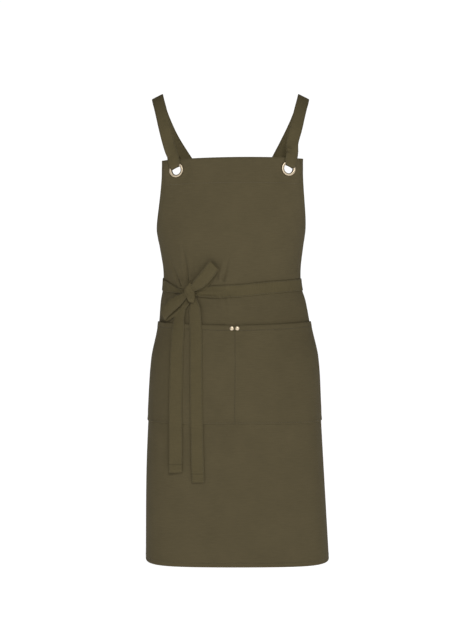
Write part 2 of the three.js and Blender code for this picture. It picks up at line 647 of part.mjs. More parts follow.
const STRAP_CELLS = 4;
const STRAP_STEPS = 1.5; // rows for each stretch of the strap's route
function shoulderStrap(hand) {
  const rows = [];
  const hole = EYELET_HOLE / 2;
  const frame = turnFrame(hand);
  for (const row of STRAP_TURN) {
    rows.push(
      acrossTape(STRAP_CELLS).map((place) => {
        const bend = place * place;
        const up = THREE.MathUtils.lerp(row.middleUp, row.edgeUp, bend) + hand * row.twist * place;
        const point = frame.point.clone().addScaledVector(frame.up, hole * up);
        point.addScaledVector(frame.out, hole * THREE.MathUtils.lerp(row.middleOut, row.edgeOut, bend));
        point.addScaledVector(frame.across, (place * row.half * TAPE_WIDTH) / 2);
        return { point };
      }),
    );
  }
  const turnRows = rows.length;

  const middles = [rows[turnRows - 1][STRAP_CELLS / 2].point];
  const faces = [frame.out];
  for (const row of STRAP_ROUTE) {
    const reach = row.reach < 0 ? FRONT_REACH : BACK_REACH;
    const angle = THREE.MathUtils.degToRad(row.facing);
    const x = (hand * row.out * SHOULDER_SPAN) / 2 + STRAP_SWAY;
    middles.push(new THREE.Vector3(x, row.reach * reach, -row.drop * SHOULDER_DROP));
    faces.push(new THREE.Vector3(hand * row.tilt, -Math.cos(angle), Math.sin(angle)).normalize());
  }
  const crossing = backRun(hand, 0.5).point;
  for (let k = 0; k <= BACK_STEPS; k += 1) {
    const { point, out } = backRun(hand, k / BACK_STEPS);
    const lift = hand > 0 ? crossingLift(point.distanceTo(crossing)) : 0;
    middles.push(point.addScaledVector(out, LYING_OUT + lift));
    faces.push(out);
  }
  const line = new THREE.CatmullRomCurve3(middles, false, "centripetal");
  const facing = new THREE.CatmullRomCurve3(faces, false, "centripetal");
  const steps = Math.round(STRAP_STEPS * (middles.length - 1));
  for (let k = 1; k <= steps; k += 1) {
    const along = line.getTangent(k / steps);
    const across = new THREE.Vector3().crossVectors(facing.getPoint(k / steps), along).normalize();
    const out = new THREE.Vector3().crossVectors(along, across).normalize();
    const middle = line.getPoint(k / steps);
    rows.push(
      acrossTape(STRAP_CELLS).map((place) => ({
        point: middle.clone().addScaledVector(across, (place * TAPE_WIDTH) / 2),
        out,
      })),
    );
  }
  setTurnFaces(rows, turnRows);
  return tape(rows);
}

// In the turn through the eyelet, the way out of the tape comes from its neighbours' points
function setTurnFaces(rows, count) {
  for (let r = 0; r < count; r += 1) {
    const before = rows[Math.max(r - 1, 0)];
    const after = rows[r + 1];
    rows[r].forEach((cell, k) => {
      const along = after[k].point.clone().sub(before[k].point);
      const left = rows[r][Math.max(k - 1, 0)].point;
      const right = rows[r][Math.min(k + 1, STRAP_CELLS)].point;
      cell.out = new THREE.Vector3().crossVectors(along, right.clone().sub(left)).normalize();
    });
  }
}

// Where a waist tie starts, at the skirt's back corner, and the strap ends under it
const TIE_END_INSET = 24; // from the skirt's side edge
const TIE_RAISE = 1.05 * TAPE_WIDTH;
function sideCorner(hand) {
  const across = hand * (SKIRT_WIDTH / 2 - TIE_END_INSET);
  const down = TIE_DROP - TIE_RAISE;
  return { across, down, turn: hand * (Math.PI - wrapAngle(Math.abs(across), sectionAt(down))) };
}

// A tape that lies on the wrapped cloth, from rows of its middle's flat place, its half width and its lean
const LYING_CELLS = 2;
function lyingTape(rows) {
  return tape(
    rows.map((row, k) => {
      const before = rows[Math.max(k - 1, 0)];
      const after = rows[Math.min(k + 1, rows.length - 1)];
      const way = new THREE.Vector2(after.across - before.across, after.down - before.down);
      const side = new THREE.Vector2(way.y, -way.x).normalize().multiplyScalar(row.half);
      return acrossTape(LYING_CELLS).map((place) => {
        const across = row.across + place * side.x;
        const down = row.down + place * side.y;
        return { point: wrap(across, row.out - place * row.lean, down), out: clothFrame(across, down).out };
      });
    }),
  );
}

const LYING_OUT = LAYER_GAP + TAPE / 2;

const TIE_STEP = 12; // the longest facet that lies close on the waist
function waistTie(hand, table) {
  const reach = hand * (SKIRT_WIDTH / 2 - TIE_END_INSET / 4) - KNOT_ACROSS;
  const steps = Math.ceil(Math.abs(reach) / TIE_STEP);
  const rows = [];
  for (let k = 0; k <= steps; k += 1) {
    const row = between(table, "across", 1 - k / steps);
    rows.push({
      across: KNOT_ACROSS + row.across * reach,
      down: TIE_DROP - row.raise * TAPE_WIDTH,
      out: LYING_OUT + row.out * TAPE,
      half: (row.half * TAPE_WIDTH) / 2,
      lean: 0,
    });
  }
  return lyingTape(rows);
}

// A loop of the bow from the knot, along a way that turns from across towards up. Its end slants by its skew
function bowLoop({ column, length, turn, skew }) {
  const angle = THREE.MathUtils.degToRad(turn);
  const way = new THREE.Vector2(Math.cos(angle), -Math.sin(angle));
  const side = new THREE.Vector2(-way.y, way.x);
  const rows = refined(BOW_LOOP, 2).map((row) => ({
    across: KNOT_ACROSS + row.along * length * way.x + row[column] * TAPE_WIDTH * side.x,
    down: KNOT_DROP + row.along * length * way.y + row[column] * TAPE_WIDTH * side.y,
    out: row.out * LOOP_BULGE,
    half: (row.half * TAPE_WIDTH) / 2,
    skew: skew * row.along ** 2,
  }));
  return loopTape(rows, way);
}

// A tape whose middle runs out from the cloth and back, facing away from the middle of its loop
function loopTape(rows, way) {
  const frames = rows.map((row) => wrap(row.across, row.out, row.down));
  return tape(
    rows.map((row, k) => {
      const along = frames[Math.min(k + 1, rows.length - 1)].clone().sub(frames[Math.max(k - 1, 0)]);
      const offset = new THREE.Vector2(way.y, -way.x).addScaledVector(way, row.skew).multiplyScalar(row.half);
      return acrossTape(LYING_CELLS).map((place) => {
        const across = row.across + place * offset.x;
        const down = row.down + place * offset.y;
        const point = wrap(across, row.out, down);
        const aside = wrap(row.across + offset.x, row.out, row.down + offset.y).sub(frames[k]);
        return { point, out: new THREE.Vector3().crossVectors(along, aside).normalize() };
      });
    }),
  );
}

function tail(length, table) {
  const rows = refined(table, 3).map((row) => ({
    across: KNOT_ACROSS + row.aside * TAPE_WIDTH,
    down: KNOT_DROP + TAPE_WIDTH / 2 + row.down * length,
    out: LYING_OUT + row.out * TAPE,
    half: (row.half * TAPE_WIDTH) / 2,
    lean: row.lean * TAPE_WIDTH,
  }));
  return lyingTape(rows);
}

// The knot, or the space it needs when its neighbours are cut to it
function knot(clearance) {
  const base = LAYER_GAP + KNOT_DEPTH / 2;
  const rings = refined(KNOT_ROWS, 2).map((row) => {
    const ring = [];
    for (let k = 0; k < KNOT_SIDES; k += 1) {
      const angle = (2 * Math.PI * k) / KNOT_SIDES;
      const half = (row.half * KNOT_WIDTH) / 2 + clearance;
      const depth = (row.out * KNOT_DEPTH) / 2 + clearance;
      const across = KNOT_ACROSS + row.aside * KNOT_WIDTH + half * Math.cos(angle);
      const down = KNOT_DROP - row.up * (KNOT_HEIGHT + 2 * clearance);
      ring.push(wrap(across, base + depth * Math.sin(angle), down));
    }
    return ring;
  });
  return lofted(rings);
}

// A side loop bridges the tie and the strap's end, and is sewn to the panel above and below them
function sideLoop(hand) {
  const { across, down } = sideCorner(hand);
  const rows = SIDE_LOOP.map((row) => ({
    across: across - hand * SIDE_LOOP_INSET,
    down: down - row.up * TAPE_WIDTH,
    out: LYING_OUT + row.over * SIDE_LOOP_RISE,
    half: SIDE_LOOP_WIDTH / 2,
    skew: 0,
  }));
  return loopTape(rows, new THREE.Vector2(0, 1));
}

const apron = new THREE.Group();
function add(name, geometry, material) {
  const mesh = new THREE.Mesh(geometry, material);
  mesh.name = name;
  apron.add(mesh);
}

const knotSpace = solidOf(knot(METAL_GAP));
const besideKnot = (geometry) => geometryOf(solidOf(geometry).subtract(knotSpace));

add("apron_panel", apronPanel(), olive);
add("bib_facing", bibFacing(), olive);
add("pocket", pocket(), olive);
add("bow_knot", knot(0), oliveTape);
add("bow_loop_upper", besideKnot(bowLoop(UPPER_LOOP)), oliveTape);
add("bow_loop_lower", besideKnot(bowLoop(LOWER_LOOP)), oliveTape);
add("tie_tail_left", besideKnot(tail(LEFT_TAIL, LEFT_TAIL_ROWS)), oliveTape);
add("tie_tail_right", besideKnot(tail(RIGHT_TAIL, RIGHT_TAIL_ROWS)), oliveTape);
for (const [side, hand] of [["left", -1], ["right", 1]]) {
  add("eyelet_" + side, eyelet(eyeletFrames[hand < 0 ? 0 : 1]), brass);
  add("rivet_" + side, rivet(hand), brass);
  add("shoulder_strap_" + side, shoulderStrap(hand), oliveTape);
  add("waist_tie_" + side, besideKnot(waistTie(hand, hand < 0 ? LEFT_TIE : RIGHT_TIE)), oliveTape);
  add("side_loop_" + side, sideLoop(hand), oliveTape);
}

export default apron;
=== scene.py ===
# %% [markdown]
# # A cross back apron
# The apron is one sheet of olive twill in its worn form, with tapes, a pocket and a few brass fittings.
# Its solids come from the packed frame. Here each one gets a finer mesh of cloth and a material. The
# packed nodes stay where they are, because every new piece is measured from the same pattern.

# %% Load the frame
import math

import bpy
import numpy as np
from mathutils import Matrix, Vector


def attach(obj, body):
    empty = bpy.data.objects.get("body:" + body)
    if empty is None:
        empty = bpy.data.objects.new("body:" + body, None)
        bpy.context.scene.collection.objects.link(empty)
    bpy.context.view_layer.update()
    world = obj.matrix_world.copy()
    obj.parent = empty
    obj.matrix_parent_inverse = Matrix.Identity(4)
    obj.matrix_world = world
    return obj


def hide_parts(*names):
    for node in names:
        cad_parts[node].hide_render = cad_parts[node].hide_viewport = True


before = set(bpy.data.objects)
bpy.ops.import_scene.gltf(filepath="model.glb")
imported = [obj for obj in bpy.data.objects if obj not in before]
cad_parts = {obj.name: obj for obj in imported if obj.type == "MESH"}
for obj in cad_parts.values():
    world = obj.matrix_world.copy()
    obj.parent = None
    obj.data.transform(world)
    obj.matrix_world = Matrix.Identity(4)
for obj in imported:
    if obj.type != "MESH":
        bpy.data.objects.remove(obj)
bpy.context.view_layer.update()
scene = bpy.context.scene
print("frame holds", len(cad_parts), "nodes")

# %% [markdown]
# ## The camera
# The photograph is taken from straight in front with a long lens, so that the apron's sides hardly turn
# away. A camera could be aimed by hand, but it is placed here by numbers: its height is the picture's
# middle, and its lens makes one pixel 2.2 mm at the front of the cloth.

# %% Place the camera
CAMERA_AT = (0, -2.72, -0.4905)
LENS = 68.6
SENSOR_WIDTH = 36
SIGHT = 60

camera = bpy.data.objects.new("camera", bpy.data.cameras.new("camera"))
scene.collection.objects.link(camera)
camera.location = CAMERA_AT
camera.rotation_euler = (math.radians(90), 0, 0)
camera.data.lens = LENS
camera.data.sensor_width = SENSOR_WIDTH
camera.data.clip_end = SIGHT
scene.camera = camera
print("camera looks from", CAMERA_AT)

# %% [markdown]
# ## Writing nodes as sums
# The pattern of a material, or the glow of the surround, is arithmetic on a few coordinates. Wiring it
# by hand hides the sum, so a small class wraps each socket: a sum of two sockets adds the Math node
# that does it.

# %% Wrap sockets so that they add up
class Socket:
    """A number or colour in a node tree, which sums and products can be written with."""

    def __init__(self, nodes, socket):
        self.nodes = nodes
        self.socket = socket

    def worked(self, operation, *values):
        return self.nodes.node("ShaderNodeMath", {"operation": operation}, *values)

    def __add__(self, other):
        return self.worked("ADD", self, other)

    def __sub__(self, other):
        return self.worked("SUBTRACT", self, other)

    def __rsub__(self, other):
        return self.worked("SUBTRACT", other, self)

    def __mul__(self, other):
        return self.worked("MULTIPLY", self, other)

    def __neg__(self):
        return self.worked("MULTIPLY", self, -1)

    __radd__ = __add__
    __rmul__ = __mul__

    def sine(self):
        return self.worked("SINE", self)

    def size(self):
        return self.worked("ABSOLUTE", self)

    def least(self, other):
        return self.worked("MINIMUM", self, other)

    def between(self, low, high):
        """A smooth step from 0 to 1 as the number goes from low to high."""
        settings = {"interpolation_type": "SMOOTHSTEP"}
        return self.nodes.node("ShaderNodeMapRange", settings, self, low, high)


class Nodes:
    """A node tree whose nodes are written as calls and sums."""

    def __init__(self, owner):
        owner.use_nodes = True
        self.tree = owner.node_tree

    def put(self, socket, value):
        if isinstance(value, Socket):
            self.tree.links.new(value.socket, socket)
        else:
            socket.default_value = value

    def node(self, kind, settings=None, *values, named=None, output=0):
        """A node of a type, with its settings, the values or links of its sockets, and one output."""
        node = self.tree.nodes.new(kind)
        for key, value in (settings or {}).items():
            setattr(node, key, value)
        for socket, value in zip(node.inputs, values):
            self.put(socket, value)
        for key, value in (named or {}).items():
            self.put(node.inputs[key], value)
        return Socket(self, node.outputs[output])

    def split(self, place):
        """The three numbers of a place."""
        node = self.node("ShaderNodeSeparateXYZ", {}, place).socket.node
        return [Socket(self, output) for output in node.outputs]


print("sockets add, subtract and multiply")

# %% [markdown]
# ## The studio
# The photograph comes from a white studio. Most light falls from the front, from a small key that hangs
# high and a little to the right, and the backdrop is pure white. The surround is therefore a sum: some
# light from all sides, more from the front and back, full white straight behind, and less from below,
# where a floor would be in shade. A surround of one strength would leave the cloth flat. The floor glows
# too, so that it stays white to its far edge. The standard view keeps colours true.

# %% Light the studio
SIDE_GLOW = 0.14
FRONT_GLOW = 0.15
BACKDROP_GLOW = 0.77
BACKDROP_FROM = (0.8, 0.95)
GROUND_SHADE = 0.1
GROUND_FROM = (0.35, 0.7)
WHITE = (1, 1, 1, 1)
KEY_WATTS = 87
KEY_AT = (0.5, -4.2, 1.8)
KEY_AIM = (0, 0, -0.6)
KEY_SIDE = 0.4
FLOOR_AT = -1.6
FLOOR_SIDE = 60
FLOOR_GLOW = 0.86

scene.view_settings.view_transform = "Standard"
world = bpy.data.worlds.new("white surround")
sky = Nodes(world)
_, ahead, up = sky.split(sky.node("ShaderNodeTexCoord", output="Generated"))
glow = SIDE_GLOW + FRONT_GLOW * (ahead * ahead) + BACKDROP_GLOW * ahead.between(*BACKDROP_FROM)
glow = glow - GROUND_SHADE * (-up).between(*GROUND_FROM)
sky.put(sky.tree.nodes["Background"].inputs["Strength"], glow)
sky.put(sky.tree.nodes["Background"].inputs["Color"], WHITE)
scene.world = world

key = bpy.data.objects.new("key", bpy.data.lights.new("key", "AREA"))
scene.collection.objects.link(key)
key.data.energy = KEY_WATTS
key.data.size = KEY_SIDE
key.location = KEY_AT
key.rotation_euler = (key.location - Vector(KEY_AIM)).to_track_quat("Z", "Y").to_euler()

reach = FLOOR_SIDE / 2
floor_mesh = bpy.data.meshes.new("floor")
sides = ((-reach, -reach), (reach, -reach), (reach, reach), (-reach, reach))
floor_mesh.from_pydata([(x, y, FLOOR_AT) for x, y in sides], [], [(0, 1, 2, 3)])
floor = bpy.data.objects.new("floor", floor_mesh)
scene.collection.objects.link(floor)
print("key light of", KEY_WATTS, "W over a floor at", FLOOR_AT)

# %% [markdown]
# ## The pattern
# A tailor cuts flat cloth and lets wear shape it. The same way is taken here: each piece is known by its
# flat sizes in millimetres, with across measured from the centre line and down from the bib's top edge.

# %% Set the pattern's sizes
MM = 0.001
PANEL_LENGTH = 900
SKIRT_WIDTH = 750
BIB_WIDTH = 338
ARMHOLE_DEPTH = 248
FACING_DEPTH = 56
SIDE_HEM = 9
FACING_INSET = 11
TWILL = 1.2
LAYER_GAP = 0.5
POCKET_WIDTH = 600
POCKET_DEPTH = 216
POCKET_DROP = 371
TAPE_WIDTH = 28
TAPE = 1.5
TIE_DROP = 295.5
LYING_OUT = LAYER_GAP + TAPE / 2
print("panel", SKIRT_WIDTH, "by", PANEL_LENGTH, "mm")

# %% [markdown]
# Short tables with named columns hold what changes along a piece. A spline object could carry them, but
# a table of numbers is easier to read, and one function gives every column at any place in between.

# %% Read tables smoothly
def table(names, *rows):
    """Columns of numbers by name."""
    return dict(zip(names.split(), np.array(rows, float).T))


def smooth(rows, key, values):
    """Every column between a table's rows, on a smooth curve through them."""
    places = rows[key]
    rising = 1 if places[-1] > places[0] else -1
    last = len(places) - 1
    values = np.atleast_1d(np.asarray(values, float))
    low = np.clip(np.searchsorted(rising * places, rising * values) - 1, 0, last - 1)
    high = low + 1
    span = places[high] - places[low]
    t = np.clip((values - places[low]) / span, 0, 1)
    before = np.maximum(np.arange(last + 1) - 1, 0)
    after = np.minimum(np.arange(last + 1) + 1, last)
    ease = t * t * (3 - 2 * t)
    found = {}
    for name, column in rows.items():
        slope = (column[after] - column[before]) / (places[after] - places[before])
        lean = t * (1 - t) ** 2 * slope[low] - t * t * (1 - t) * slope[high]
        found[name] = column[low] + (column[high] - column[low]) * ease + lean * span
    return found


def finer(rows, steps):
    """A table with more rows, each on a smooth curve through the given ones."""
    count = len(next(iter(rows.values())))
    numbered = {"index": np.arange(count, dtype=float), **rows}
    return smooth(numbered, "index", np.linspace(0, count - 1, (count - 1) * steps + 1))


def step_between(values, low, high):
    """A smooth step from 0 at one value to 1 at another."""
    t = np.clip((values - low) / (high - low), 0, 1)
    return t * t * (3 - 2 * t)


print("a smooth step at a quarter of its way:", step_between(0.25, 0, 1))

# %% [markdown]
# ## The form of the wrapped cloth
# The cloth wraps round a form whose level sections are ellipses, squarer lower down. Their widths follow
# the outline in the photograph: broad at the bib, narrow at the waist tie and wide again below it. Cloth
# simulation could drape the sheet over such a form, but the folds of the photograph are few and have
# known places, so they are listed and stay where they are each time the script runs.

# %% Shape the form
HEM_SPAN = 417
FRONT_REACH = 137
BACK_REACH = 134
SHOULDER_DROP = 153.5
SWAY = 11
HIP_LIFT = 8
BIB_TILT = 5
WRAP_STEPS = 150
SECTIONS = table(
    "at width front back sway lift square",
    (0.0, 0.94, 0.85, 0.88, 0, 0, 0),
    (0.06, 0.903, 0.875, 0.885, -0.05, 0, 0),
    (0.12, 0.857, 0.875, 0.87, -0.15, 0, 0),
    (0.17, 0.824, 0.867, 0.85, -0.28, 0, 0),
    (0.22, 0.788, 0.85, 0.81, -0.2, 0.3, 0),
    (0.28, 0.756, 0.825, 0.76, -0.1, 0.8, 0),
    (0.325, 0.762, 0.822, 0.755, -0.04, 1, 0),
    (0.36, 0.797, 0.85, 0.78, 0.15, 1, 0),
    (0.43, 0.84, 0.91, 0.86, 0.45, 0.9, 0.05),
    (0.5, 0.909, 0.945, 0.93, 0.5, 0.5, 0.15),
    (0.62, 0.942, 0.972, 0.98, 0.45, 0.1, 0.25),
    (0.78, 0.974, 0.987, 0.99, 0.55, 0, 0.32),
    (1.0, 1.004, 1.0, 1.0, 1.0, 0, 0.34),
)


def section(down):
    """The form's level section: half its width and depth, its middle, and its other columns."""
    row = smooth(SECTIONS, "at", down / PANEL_LENGTH)
    front = row["front"] * FRONT_REACH
    back = row["back"] * BACK_REACH
    row["half"] = row["width"] * HEM_SPAN / 2
    row["depth"] = (front + back) / 2
    row["middle"] = (back - front) / 2
    return row


def surface_point(angle, down):
    """The form's surface at an angle round from the front."""
    row = section(down)
    sine = np.sin(angle)
    cosine = np.cos(angle)
    x = row["half"] * sine * (1 + row["square"] * cosine**2) + row["sway"] * SWAY
    y = row["middle"] - row["depth"] * cosine * (1 + row["square"] * sine**2)
    rise = row["lift"] * HIP_LIFT * sine**2
    tilt = BIB_TILT * np.maximum(0, 1 - down / TIE_DROP) * x / BIB_WIDTH
    return np.stack([x, y, rise + tilt - SHOULDER_DROP - down], axis=-1)


def wrap_angle(length, row):
    """The angle round a section that a length of cloth reaches from its front."""
    step = math.pi / WRAP_STEPS
    middles = (np.arange(WRAP_STEPS) + 0.5) * step
    sine = np.sin(middles)
    cosine = np.cos(middles)
    square = row["square"][:, None]
    fast_x = row["half"][:, None] * cosine * (1 + square * (cosine**2 - 2 * sine**2))
    fast_y = row["depth"][:, None] * sine * (1 + square * (sine**2 - 2 * cosine**2))
    pieces = step * np.hypot(fast_x, fast_y)
    ends = np.cumsum(pieces, axis=1)
    index = np.minimum((ends < length[:, None]).sum(axis=1), WRAP_STEPS - 1)
    rows = np.arange(len(length))
    piece = pieces[rows, index]
    return step * (index + (length - ends[rows, index] + piece) / piece)


def form_point(across, down):
    """The form's surface under a flat place of the cloth."""
    return surface_point(np.sign(across) * wrap_angle(np.abs(across), section(down)), down)


waist = form_point(np.array([0.0]), np.array([float(TIE_DROP)]))[0]
print("front of the waist at", waist.round(1))

# %% [markdown]
# ## The folds
# A waist tie pulls the cloth into folds that run into the knot and fade away from it. Each fold is a
# ridge or a hollow along a line, deepest at one end. Everything that lies on the cloth follows the same
# folds, so nothing pokes through.

# %% Set the folds
FOLD_RISE = 5
FOLD_SPREAD = 11
FOLD_FADE = 1.4
FOLDS = table(
    "across down to_across to_down rise spread",
    (-0.32, 0.315, -0.45, 0.25, 0.9, 0.9),
    (-0.29, 0.312, -0.36, 0.27, -0.5, 0.7),
    (-0.265, 0.305, -0.315, 0.21, 0.7, 1.1),
    (-0.03, 0.31, 0.015, 0.225, 0.5, 1.1),
    (-0.03, 0.35, -0.02, 0.4, 0.5, 1.1),
    (0.44, 0.175, 0.35, 0.1, 0.5, 1.3),
    (0.45, 0.29, 0.43, 0.2, 0.5, 1.1),
)
CREASES = table(
    "across down to_across to_down rise spread",
    (-0.325, 0.318, -0.445, 0.23, -1.4, 0.3),
    (-0.31, 0.308, -0.375, 0.262, 0.8, 0.26),
    (-0.275, 0.305, -0.31, 0.2, -1.7, 0.36),
    (-0.25, 0.302, -0.265, 0.235, 0.9, 0.28),
    (-0.235, 0.3, -0.235, 0.24, -0.4, 0.26),
    (-0.05, 0.3, -0.005, 0.222, -1.0, 0.26),
    (-0.075, 0.3, -0.045, 0.235, 0.6, 0.26),
    (0.15, 0.305, 0.155, 0.28, -0.25, 0.3),
    (0.2, 0.302, 0.205, 0.275, -0.25, 0.3),
    (0.31, 0.298, 0.315, 0.27, -0.25, 0.3),
    (-0.05, 0.345, -0.03, 0.4, -0.6, 0.38),
    (-0.085, 0.345, -0.075, 0.385, -0.4, 0.34),
    (-0.02, 0.345, 0.0, 0.385, 0.3, 0.4),
)


def fold_rise(across, down):
    """How far the folds raise the cloth at each flat place."""
    rise = np.zeros_like(across)
    for folds in (FOLDS, CREASES):
        for a, d, to_a, to_d, height, spread in zip(*folds.values()):
            start = np.array([a * SKIRT_WIDTH / 2, d * PANEL_LENGTH])
            run = np.array([to_a * SKIRT_WIDTH / 2, to_d * PANEL_LENGTH]) - start
            here = np.stack([across, down], axis=-1) - start
            along = np.clip(here @ run / (run @ run), 0, 1)
            away = np.linalg.norm(here - along[:, None] * run, axis=-1) / (spread * FOLD_SPREAD)
            rise += height * FOLD_RISE * (1 - along) ** FOLD_FADE * np.exp(-away * away)
    return rise


print(len(FOLDS["rise"]), "folds and", len(CREASES["rise"]), "creases")

# %% [markdown]
# The eyelets clamp the cloth flat, so under each flange the wrapped cloth eases into one level plane.
# The function `lay` gives, for flat places, their point on the wrapped cloth and the way out of it. Any
# layer then lies at its own distance along that way.

# %% Lay flat places on the form
EYELET_OUTER = 33
EYELET_EASE = (1.5, 2.6)
EYELET_HOLE = 19.5
EYELET_MOUTH = 21.5
EYELET_FRONT = 0.45
EYELET_INSET = 39.5
EYELET_DROP = 23.5
EYELET_ACROSS = BIB_WIDTH / 2 - EYELET_INSET
PROBE = 1.5
PROBE_TURN = 0.01


def unit(vectors):
    return vectors / np.linalg.norm(vectors, axis=-1, keepdims=True)


def cloth_frame(across, down):
    """The cloth's points, its ways across and down, and the way out of it."""
    point = form_point(across, down)
    side = form_point(across + PROBE, down) - form_point(across - PROBE, down)
    fall = unit(form_point(across, down + PROBE) - form_point(across, down - PROBE))
    out = unit(np.cross(fall, side))
    return point + out * fold_rise(across, down)[:, None], np.cross(out, fall), fall, out


EYELETS = {}
for name, hand in (("left", -1), ("right", 1)):
    place = np.array([hand * EYELET_ACROSS]), np.array([float(EYELET_DROP)])
    centre, _, fall, out = (part[0] for part in cloth_frame(*place))
    out = out + EYELET_FRONT * np.array([0, -1, 0])
    out = unit(out - (out @ fall) * fall)
    EYELETS[name] = [place[0][0], centre, np.cross(out, fall), fall, out]


def lay(across, down):
    """Where flat places lie on the form, and the way out of the cloth there."""
    across, down = np.broadcast_arrays(np.asarray(across, float), np.asarray(down, float))
    shape = across.shape
    across = across.ravel()
    down = down.ravel()
    point, _, _, way = cloth_frame(across, down)
    for middle, centre, side, fall, out in EYELETS.values():
        aside = across - middle
        below = down - EYELET_DROP
        away = 2 * np.hypot(aside, below) / EYELET_OUTER
        held = (1 - step_between(away, *EYELET_EASE))[:, None]
        level = centre + aside[:, None] * side + below[:, None] * fall
        point = point + (level - point) * held
        way = way + (out - way) * held
    return point.reshape(*shape, 3), way.reshape(*shape, 3)


print("left eyelet centred at", EYELETS["left"][1].round(1))

# %% [markdown]
# ## Meshes that know their cloth
# Each cloth mesh keeps its flat coordinates as a UV map, so that the weave runs straight however the
# piece bends. Three numbers on every vertex tell the material where the sewing is: how far it is to the
# folded edge, to that edge's stitching, and to any other seam. Painting masks by hand would also work,
# but measured distances stay right when a size changes.

# %% Make meshes with numpy
FAR = 40.0


def new_piece(name, points, faces, flat, **numbers):
    """A smooth mesh object in metres from points in millimetres, with its flat places and numbers."""
    mesh = bpy.data.meshes.new(name)
    mesh.from_pydata((np.asarray(points) * MM).tolist(), [], faces)
    mesh.update()
    corners = np.empty(len(mesh.loops), dtype=np.int32)
    mesh.loops.foreach_get("vertex_index", corners)
    uv = (np.asarray(flat, float) * MM)[corners]
    mesh.uv_layers.new(name="flat").data.foreach_set("uv", uv.ravel())
    for key, values in numbers.items():
        mesh.attributes.new(key, "FLOAT", "POINT").data.foreach_set("value", np.asarray(values, float))
    mesh.shade_smooth()
    piece = bpy.data.objects.new(name, mesh)
    scene.collection.objects.link(piece)
    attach(piece, "root")
    return piece


def triangles(piece):
    return sum(len(face.vertices) - 2 for face in piece.data.polygons)


def distance_along(line):
    """How far along a line each of its points lies."""
    return np.concatenate([[0], np.cumsum(np.linalg.norm(np.diff(line, axis=0), axis=1))])


def tube_faces(rows, sides):
    """The four-sided faces of a tube of rings, and the numbers of its vertices."""
    index = np.arange(rows * sides).reshape(rows, sides)
    beside = np.roll(index, -1, axis=1)
    faces = np.stack([beside[:-1], beside[1:], index[1:], index[:-1]], axis=-1)
    return faces.reshape(-1, 4), index


print("every piece rides on the root body, and", FAR, "mm stands for no seam near")


# %% [markdown]
# A sheet is a grid of small cells, less the cells that fall in its cut-outs. The rim of what is left is
# moved onto the true line of the cut, and a middle row of rim points, pushed out a little, rounds the
# edge as a turned hem is round. Cutting with booleans would leave long thin faces that shade badly.

# %% Make a sheet of cloth
RIM_ROUND = 0.45


def cut_share(across, down, cut):
    """How far out a place lies in a cut-out's ellipse: below 1 it is cut away."""
    centre_across, centre_down, half_across, half_down = cut
    return np.hypot((across - centre_across) / half_across, (down - centre_down) / half_down)


def cut_distance(across, down, cut):
    """About how many millimetres it is from the edge of a cut-out."""
    share = np.maximum(cut_share(across, down, cut), 1e-6)
    slope = np.hypot((across - cut[0]) / cut[2] ** 2, (down - cut[1]) / cut[3] ** 2) / share
    return (share - 1) / np.maximum(slope, 1e-9)


def cloth_sheet(name, columns, rows, cuts, layers, numbers):
    """A closed sheet with a rounded rim. layers gives its outer and inner distance out at flat places."""
    across, down = np.meshgrid(columns, rows)
    middle_across = (across[1:, 1:] + across[:-1, :-1]) / 2
    middle_down = (down[1:, 1:] + down[:-1, :-1]) / 2
    kept = np.ones(middle_across.shape, bool)
    for cut in cuts:
        gone = cut_share(middle_across, middle_down, cut) < 1
        kept &= ~gone
        touched = np.zeros(across.shape, bool)
        for i, j in ((0, 0), (0, 1), (1, 0), (1, 1)):
            touched[i : i + gone.shape[0], j : j + gone.shape[1]] |= gone
        share = cut_share(across, down, cut)
        scale = np.where(touched, 1 / np.maximum(share, 1e-6), 1)
        across = cut[0] + (across - cut[0]) * scale
        down = cut[1] + (down - cut[1]) * scale

    index = np.arange(across.size).reshape(across.shape)
    corners = [index[:-1, :-1], index[1:, :-1], index[1:, 1:], index[:-1, 1:]]
    quads = np.stack([corner[kept] for corner in corners], axis=-1)
    used, quads = np.unique(quads, return_inverse=True)
    quads = quads.reshape(-1, 4)
    across = across.ravel()[used]
    down = down.ravel()[used]

    edges = np.concatenate([quads[:, [k, (k + 1) % 4]] for k in range(4)])
    keys = {(a, b) for a, b in edges.tolist()}
    rim = [(a, b) for a, b in edges.tolist() if (b, a) not in keys]
    rim_points = sorted({a for edge in rim for a in edge})
    place = {point: k for k, point in enumerate(rim_points)}
    away = np.zeros((len(across), 2))
    flat = np.stack([across, down], axis=-1)
    for k in range(4):
        np.add.at(away, quads[:, k], flat[quads[:, k]] - flat[quads].mean(axis=1))
    push = unit(away[rim_points]) * RIM_ROUND

    outer, inner = layers(across, down)
    point, way = lay(across, down)
    edge_point, edge_way = lay(*(flat[rim_points] + push).T)
    edge_out = ((outer + inner) / 2)[rim_points]
    outside = point + way * outer[:, None]
    inside = point + way * inner[:, None]
    points = np.concatenate([outside, inside, edge_point + edge_way * edge_out[:, None]])
    count = len(across)
    faces = quads.tolist() + (quads[:, ::-1] + count).tolist()
    for a, b in rim:
        middle_a = 2 * count + place[a]
        middle_b = 2 * count + place[b]
        faces.append((b, a, middle_a, middle_b))
        faces.append((middle_b, middle_a, count + a, count + b))
    all_flat = np.concatenate([flat, flat, flat[rim_points] + push])
    found = {key: np.concatenate([v, v, v[rim_points]]) for key, v in numbers(across, down).items()}
    return new_piece(name, points, faces, all_flat, **found)


print("rims of sheets are rounded by", RIM_ROUND, "mm")

# %% [markdown]
# ## The panel
# Bib and skirt are one sheet. Its armholes are quarters of an ellipse about the uncut corners, its edges
# are turned in and stitched 9 mm from the fold, and the stitch line of the facing runs across the bib.
# The grid's lines are 5 mm apart, closer at the hems, where the cloth is double, and twice as close about
# the knot, where the creases are.

